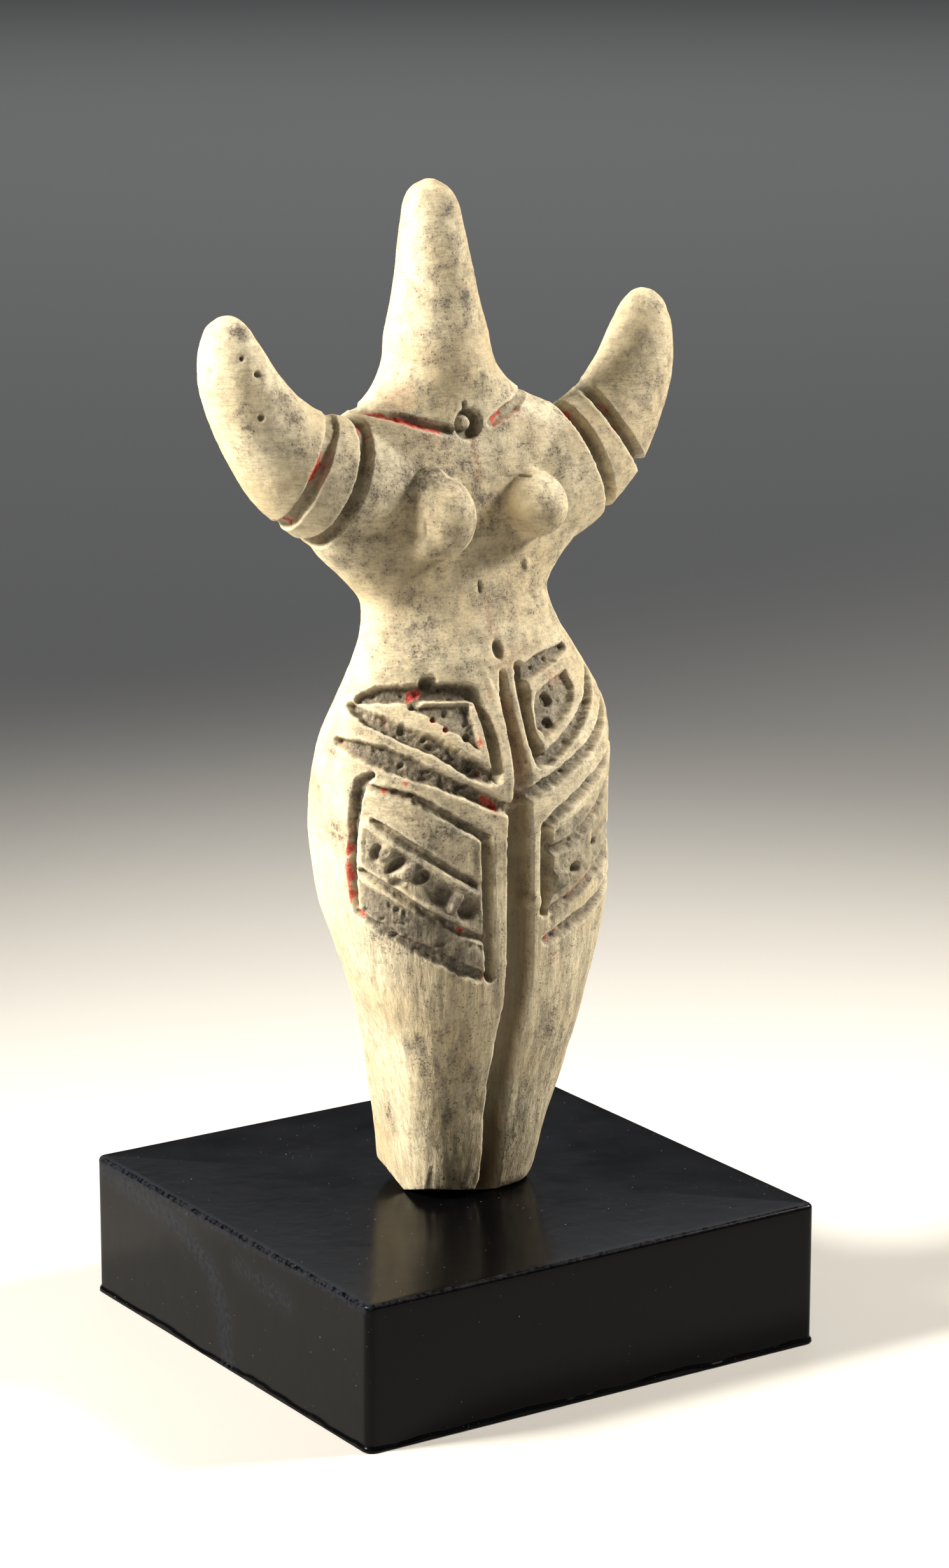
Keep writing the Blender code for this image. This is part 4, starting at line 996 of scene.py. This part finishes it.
# The display base: a square block under glossy black lacquer, which ran into a thin wavy lip at its foot
baseSettings = {
    "corner": 1.6,        # mm radius of the upright edges
    "edge": 0.9,          # mm radius of the top edges
    "cornerPoints": 8,
    "sidePoints": 120,
    "lip": 0.42,          # mm that the lip stands out, how much less at its foot, and how sharply it ends
    "lipFoot": 0.25,
    "lipEnd": 4,
    "lipHeight": 1.2,
    # how its height wanders: mm, size in mm, seed
    "lipWander": ((0.6, 9, 2), (0.3, 2.5, 6)),
    "lipHeights": (0, 0.2, 0.4, 0.65, 0.9, 1.15, 1.4, 1.7, 2, 2.4, 2.9),
    "wallStep": 1.6,
    "edgeRings": 6,
    "topRings": (0.985, 0.5),
    "topRise": 0.04,      # mm that each ring towards the middle of the top stands higher
    "sharpFrom": 40,      # degrees
    # pale scuffs on the face to the viewer's left, to this depth: front to back, height, width, strength
    "faceDepth": 1.2,
    "scuffs": (
        ((49, 26.8, 2.6, 0.9), (20, 27, 1.8, 0.8), (-10, 27.2, 1.5, 0.7), (-49, 27.4, 1.4, 0.9)),
        ((46, 25, 3, 0.8), (20, 23.6, 4, 0.8), (6, 18.5, 5, 0.7), (1, 10, 6, 0.7), (0, 1, 6, 0.6)),
        ((-4, 22, 4, 0.5), (-22, 20, 5, 0.5)),
    ),
    "topEdgeLightWidth": 0.8,     # mm from the sides that the painted highlight along the top's edge reaches, and mm from the top
    "topEdgeLightHeight": 0.5,
    "colours": {"black": "#040405", "dust": "#8B8D93", "scuff": "#252B36", "worn": "#26272B"},
    "masks": ("scuff", "worn"),
    "spaces": {},
    # dust specks of 0.5 mm, clouds of 12 mm, fine streaks in the scuffs and waves of 4 mm
    "noises": {
        "specks": ("mm", 1.5, 1, 0.5),
        "clouds": ("mm", 0.08, 4, 0.5),
        "streaks": ("mm", 0.9, 4, 0.7),
        "relief": ("mm", 0.25, 2, 0.5),
    },
    "nodes": {
        "dustClouds": ("MULTIPLY_ADD", "clouds", 0.12, "specks"),
        "dusty": ("MapRange", "dustClouds", 0.82, 0.88, 0, 0.5),
        "broken": ("MapRange", "streaks", 0.4, 0.68),
        "scuffed": ("MULTIPLY", "scuff", "broken"),
        "edgeHighlight": ("MULTIPLY", "worn", "broken"),
        "cloudy": ("MapRange", "clouds", 0.35, 0.75, 0.17, 0.27),
        "gloss": ("MULTIPLY_ADD", "scuffed", 0.45, "cloudy"),
    },
    "blends": {"ground": ("scuffed", "black", "scuff")},
    "layers": (("edgeHighlight", "worn"), ("dusty", "dust")),
    "bump": (0.3, 0.1),
    "specular": 0.09,
}


def roundedSquare(half, settings):
    # Points and outward directions around a square with round corners
    out = []
    corner = settings["corner"]
    for turn in turnsRound(4):
        side = [(half, share * (half - corner), 0)
                for share in np.linspace(-1, 1, settings["sidePoints"], endpoint=False)]
        side += [(half - corner + corner * math.cos(angle), half - corner + corner * math.sin(angle), angle)
                 for angle in np.linspace(0, math.pi / 2, settings["cornerPoints"], endpoint=False)]
        cos, sin = math.cos(turn), math.sin(turn)
        for x, y, angle in side:
            outward = Vector((math.cos(turn + angle), math.sin(turn + angle), 0))
            out.append((Vector((x * cos - y * sin, x * sin + y * cos, 0)), outward))
    return out


def makeBase(settings):
    half = (baseHigh.x - baseLow.x) / 2 / mm
    tall = (baseHigh.z - baseLow.z) / mm
    outline = roundedSquare(half, settings)
    edge = settings["edge"]
    wall = np.linspace(settings["lipHeights"][-1], tall - edge, round(tall / settings["wallStep"]))[1:-1]
    rows = [(height, 0) for height in (*settings["lipHeights"], *wall)]
    for angle in np.linspace(0, math.pi / 2, settings["edgeRings"]):
        rows.append((tall - edge + edge * math.sin(angle), -edge * (1 - math.cos(angle))))
    rings = []
    for height, inset in rows:
        ring = []
        for place, outward in outline:
            top = settings["lipHeight"]
            for strength, size, seed in settings["lipWander"]:
                top += strength * noise.noise((place.x / size, place.y / size, seed))
            share = max(0, 1 - (height / top) ** settings["lipEnd"])
            swell = settings["lip"] * share - (settings["lipFoot"] if height == 0 else 0)
            ring.append((place + outward * (inset + swell) + Vector((0, 0, height))) * mm)
        rings.append(ring)
    for share in settings["topRings"]:
        rise = settings["topRise"] * mm
        rings.append([Vector((point.x * share, point.y * share, point.z + rise)) for point in rings[-1]])
    mesh = bmesh.new()
    loft(mesh, rings)
    piece = newPiece("base_block", mesh, "display_base")
    piece.data.shade_smooth()
    piece.data.set_sharp_from_angle(angle=math.radians(settings["sharpFrom"]))
    markBase(piece, settings, half, tall)
    return piece


def markBase(piece, settings, half, tall):
    points = readVectors(piece.data.vertices, "co") / mm
    scuff = np.zeros(len(points))
    leftFace = points[:, 0] < -half + settings["faceDepth"]
    for places in settings["scuffs"]:
        for start, end in zip(np.array(places), np.array(places)[1:]):
            share, gap = alongRun(points[:, 1:], start[:2], end[:2])
            width = start[2] + (end[2] - start[2]) * share
            strength = start[3] + (end[3] - start[3]) * share
            scuff = np.maximum(scuff, leftFace * strength * np.exp(-((gap / width * 2) ** 2)))
    # a band of painted highlight along the top's edges
    reach = settings["topEdgeLightHeight"]
    byEdge = np.abs(points[:, :2]).max(axis=1) > half - settings["topEdgeLightWidth"]
    keepMasks(piece.data, {"scuff": scuff, "worn": fallOff(points[:, 2] - tall + reach, reach) * byEdge})


def lacquerMaterial(settings):
    # Brushed-on black lacquer over wood: deep gloss, slightly wavy, with dust, pale scuffs and a painted
    # highlight along the top edges
    material, tree, shader, made = startMaterial("brushedBlackLacquer", settings)
    finishMaterial(tree, shader, made, settings)
    return material


base = makeBase(baseSettings)
base.data.materials.append(lacquerMaterial(baseSettings))
print("base ready:", len(base.data.polygons), "faces")


# Studio: a pale floor, a soft light on each side, a weak fill from the front, a wide wash from behind, and
# the photograph's camera
studioSettings = {
    "floorSide": 60,      # metres
    "floorRoughness": 0.9,
    "floorColour": "#D6D4D0",
    "world": "#DDE3EA",
    "worldStrength": 0.08,
    # direction as turn and lift in degrees, distance and size in metres, power in watts, spread, colour
    "lights": {
        "leftSoftbox": (-105, 30, 0.75, 0.2, 2, 60, "#FFF8EC"),
        "rightSoftbox": (68, 32, 0.85, 0.18, 1.4, 60, "#FFF8EC"),
        "frontFill": (-50, 14, 1.5, 0.5, 1.25, 180, "#FFEBD2"),
        "farWash": (146.6, 38, 3.2, 2, 12, 180, "#F4F6FA"),
    },
    "aim": (0, 0, 0.12),
    "cameraPlace": (-0.4439, -0.6808, 0.3107),
    "cameraTurn": -33.438,   # degrees round from the figure's front
    "cameraLift": 14.116,
    "focal": 102.27,         # mm, for this many mm along the picture's long side
    "sensor": 36,
}


def direction(turn, lift):
    turn, lift = math.radians(turn), math.radians(lift)
    return Vector((math.sin(turn) * math.cos(lift), -math.cos(turn) * math.cos(lift), math.sin(lift)))


def makeStudio(settings):
    mesh = bmesh.new()
    bmesh.ops.create_grid(mesh, x_segments=1, y_segments=1, size=settings["floorSide"] / 2)
    floor = newPiece("floor", mesh)
    paper, tree, shader = newMaterial("paleMattPaper")
    shader.inputs["Base Color"].default_value = toLinear(settings["floorColour"])
    shader.inputs["Roughness"].default_value = settings["floorRoughness"]
    floor.data.materials.append(paper)
    world = bpy.data.worlds.new("studio")
    world.use_nodes = True
    sky = world.node_tree.nodes["Background"]
    sky.inputs["Color"].default_value = toLinear(settings["world"])
    sky.inputs["Strength"].default_value = settings["worldStrength"]
    bpy.context.scene.world = world
    aim = Vector(settings["aim"])
    for name, (turn, lift, distance, size, power, spread, colour) in settings["lights"].items():
        lamp = bpy.data.lights.new(name, "AREA")
        lamp.size = size
        lamp.energy = power
        lamp.spread = math.radians(spread)
        lamp.color = toLinear(colour)[:3]
        light = addObject(name, lamp)
        light.location = aim + direction(turn, lift) * distance
        light.rotation_euler = direction(turn, lift).to_track_quat("Z", "Y").to_euler()
    lens = bpy.data.cameras.new("camera")
    lens.sensor_fit = "AUTO"
    lens.sensor_width = settings["sensor"]
    lens.lens = settings["focal"]
    bpy.context.scene.view_settings.view_transform = "Standard"
    camera = addObject("camera", lens)
    camera.location = settings["cameraPlace"]
    backward = direction(settings["cameraTurn"], settings["cameraLift"])
    camera.rotation_euler = backward.to_track_quat("Z", "Y").to_euler()
    bpy.context.scene.camera = camera


makeStudio(studioSettings)
print("studio ready")
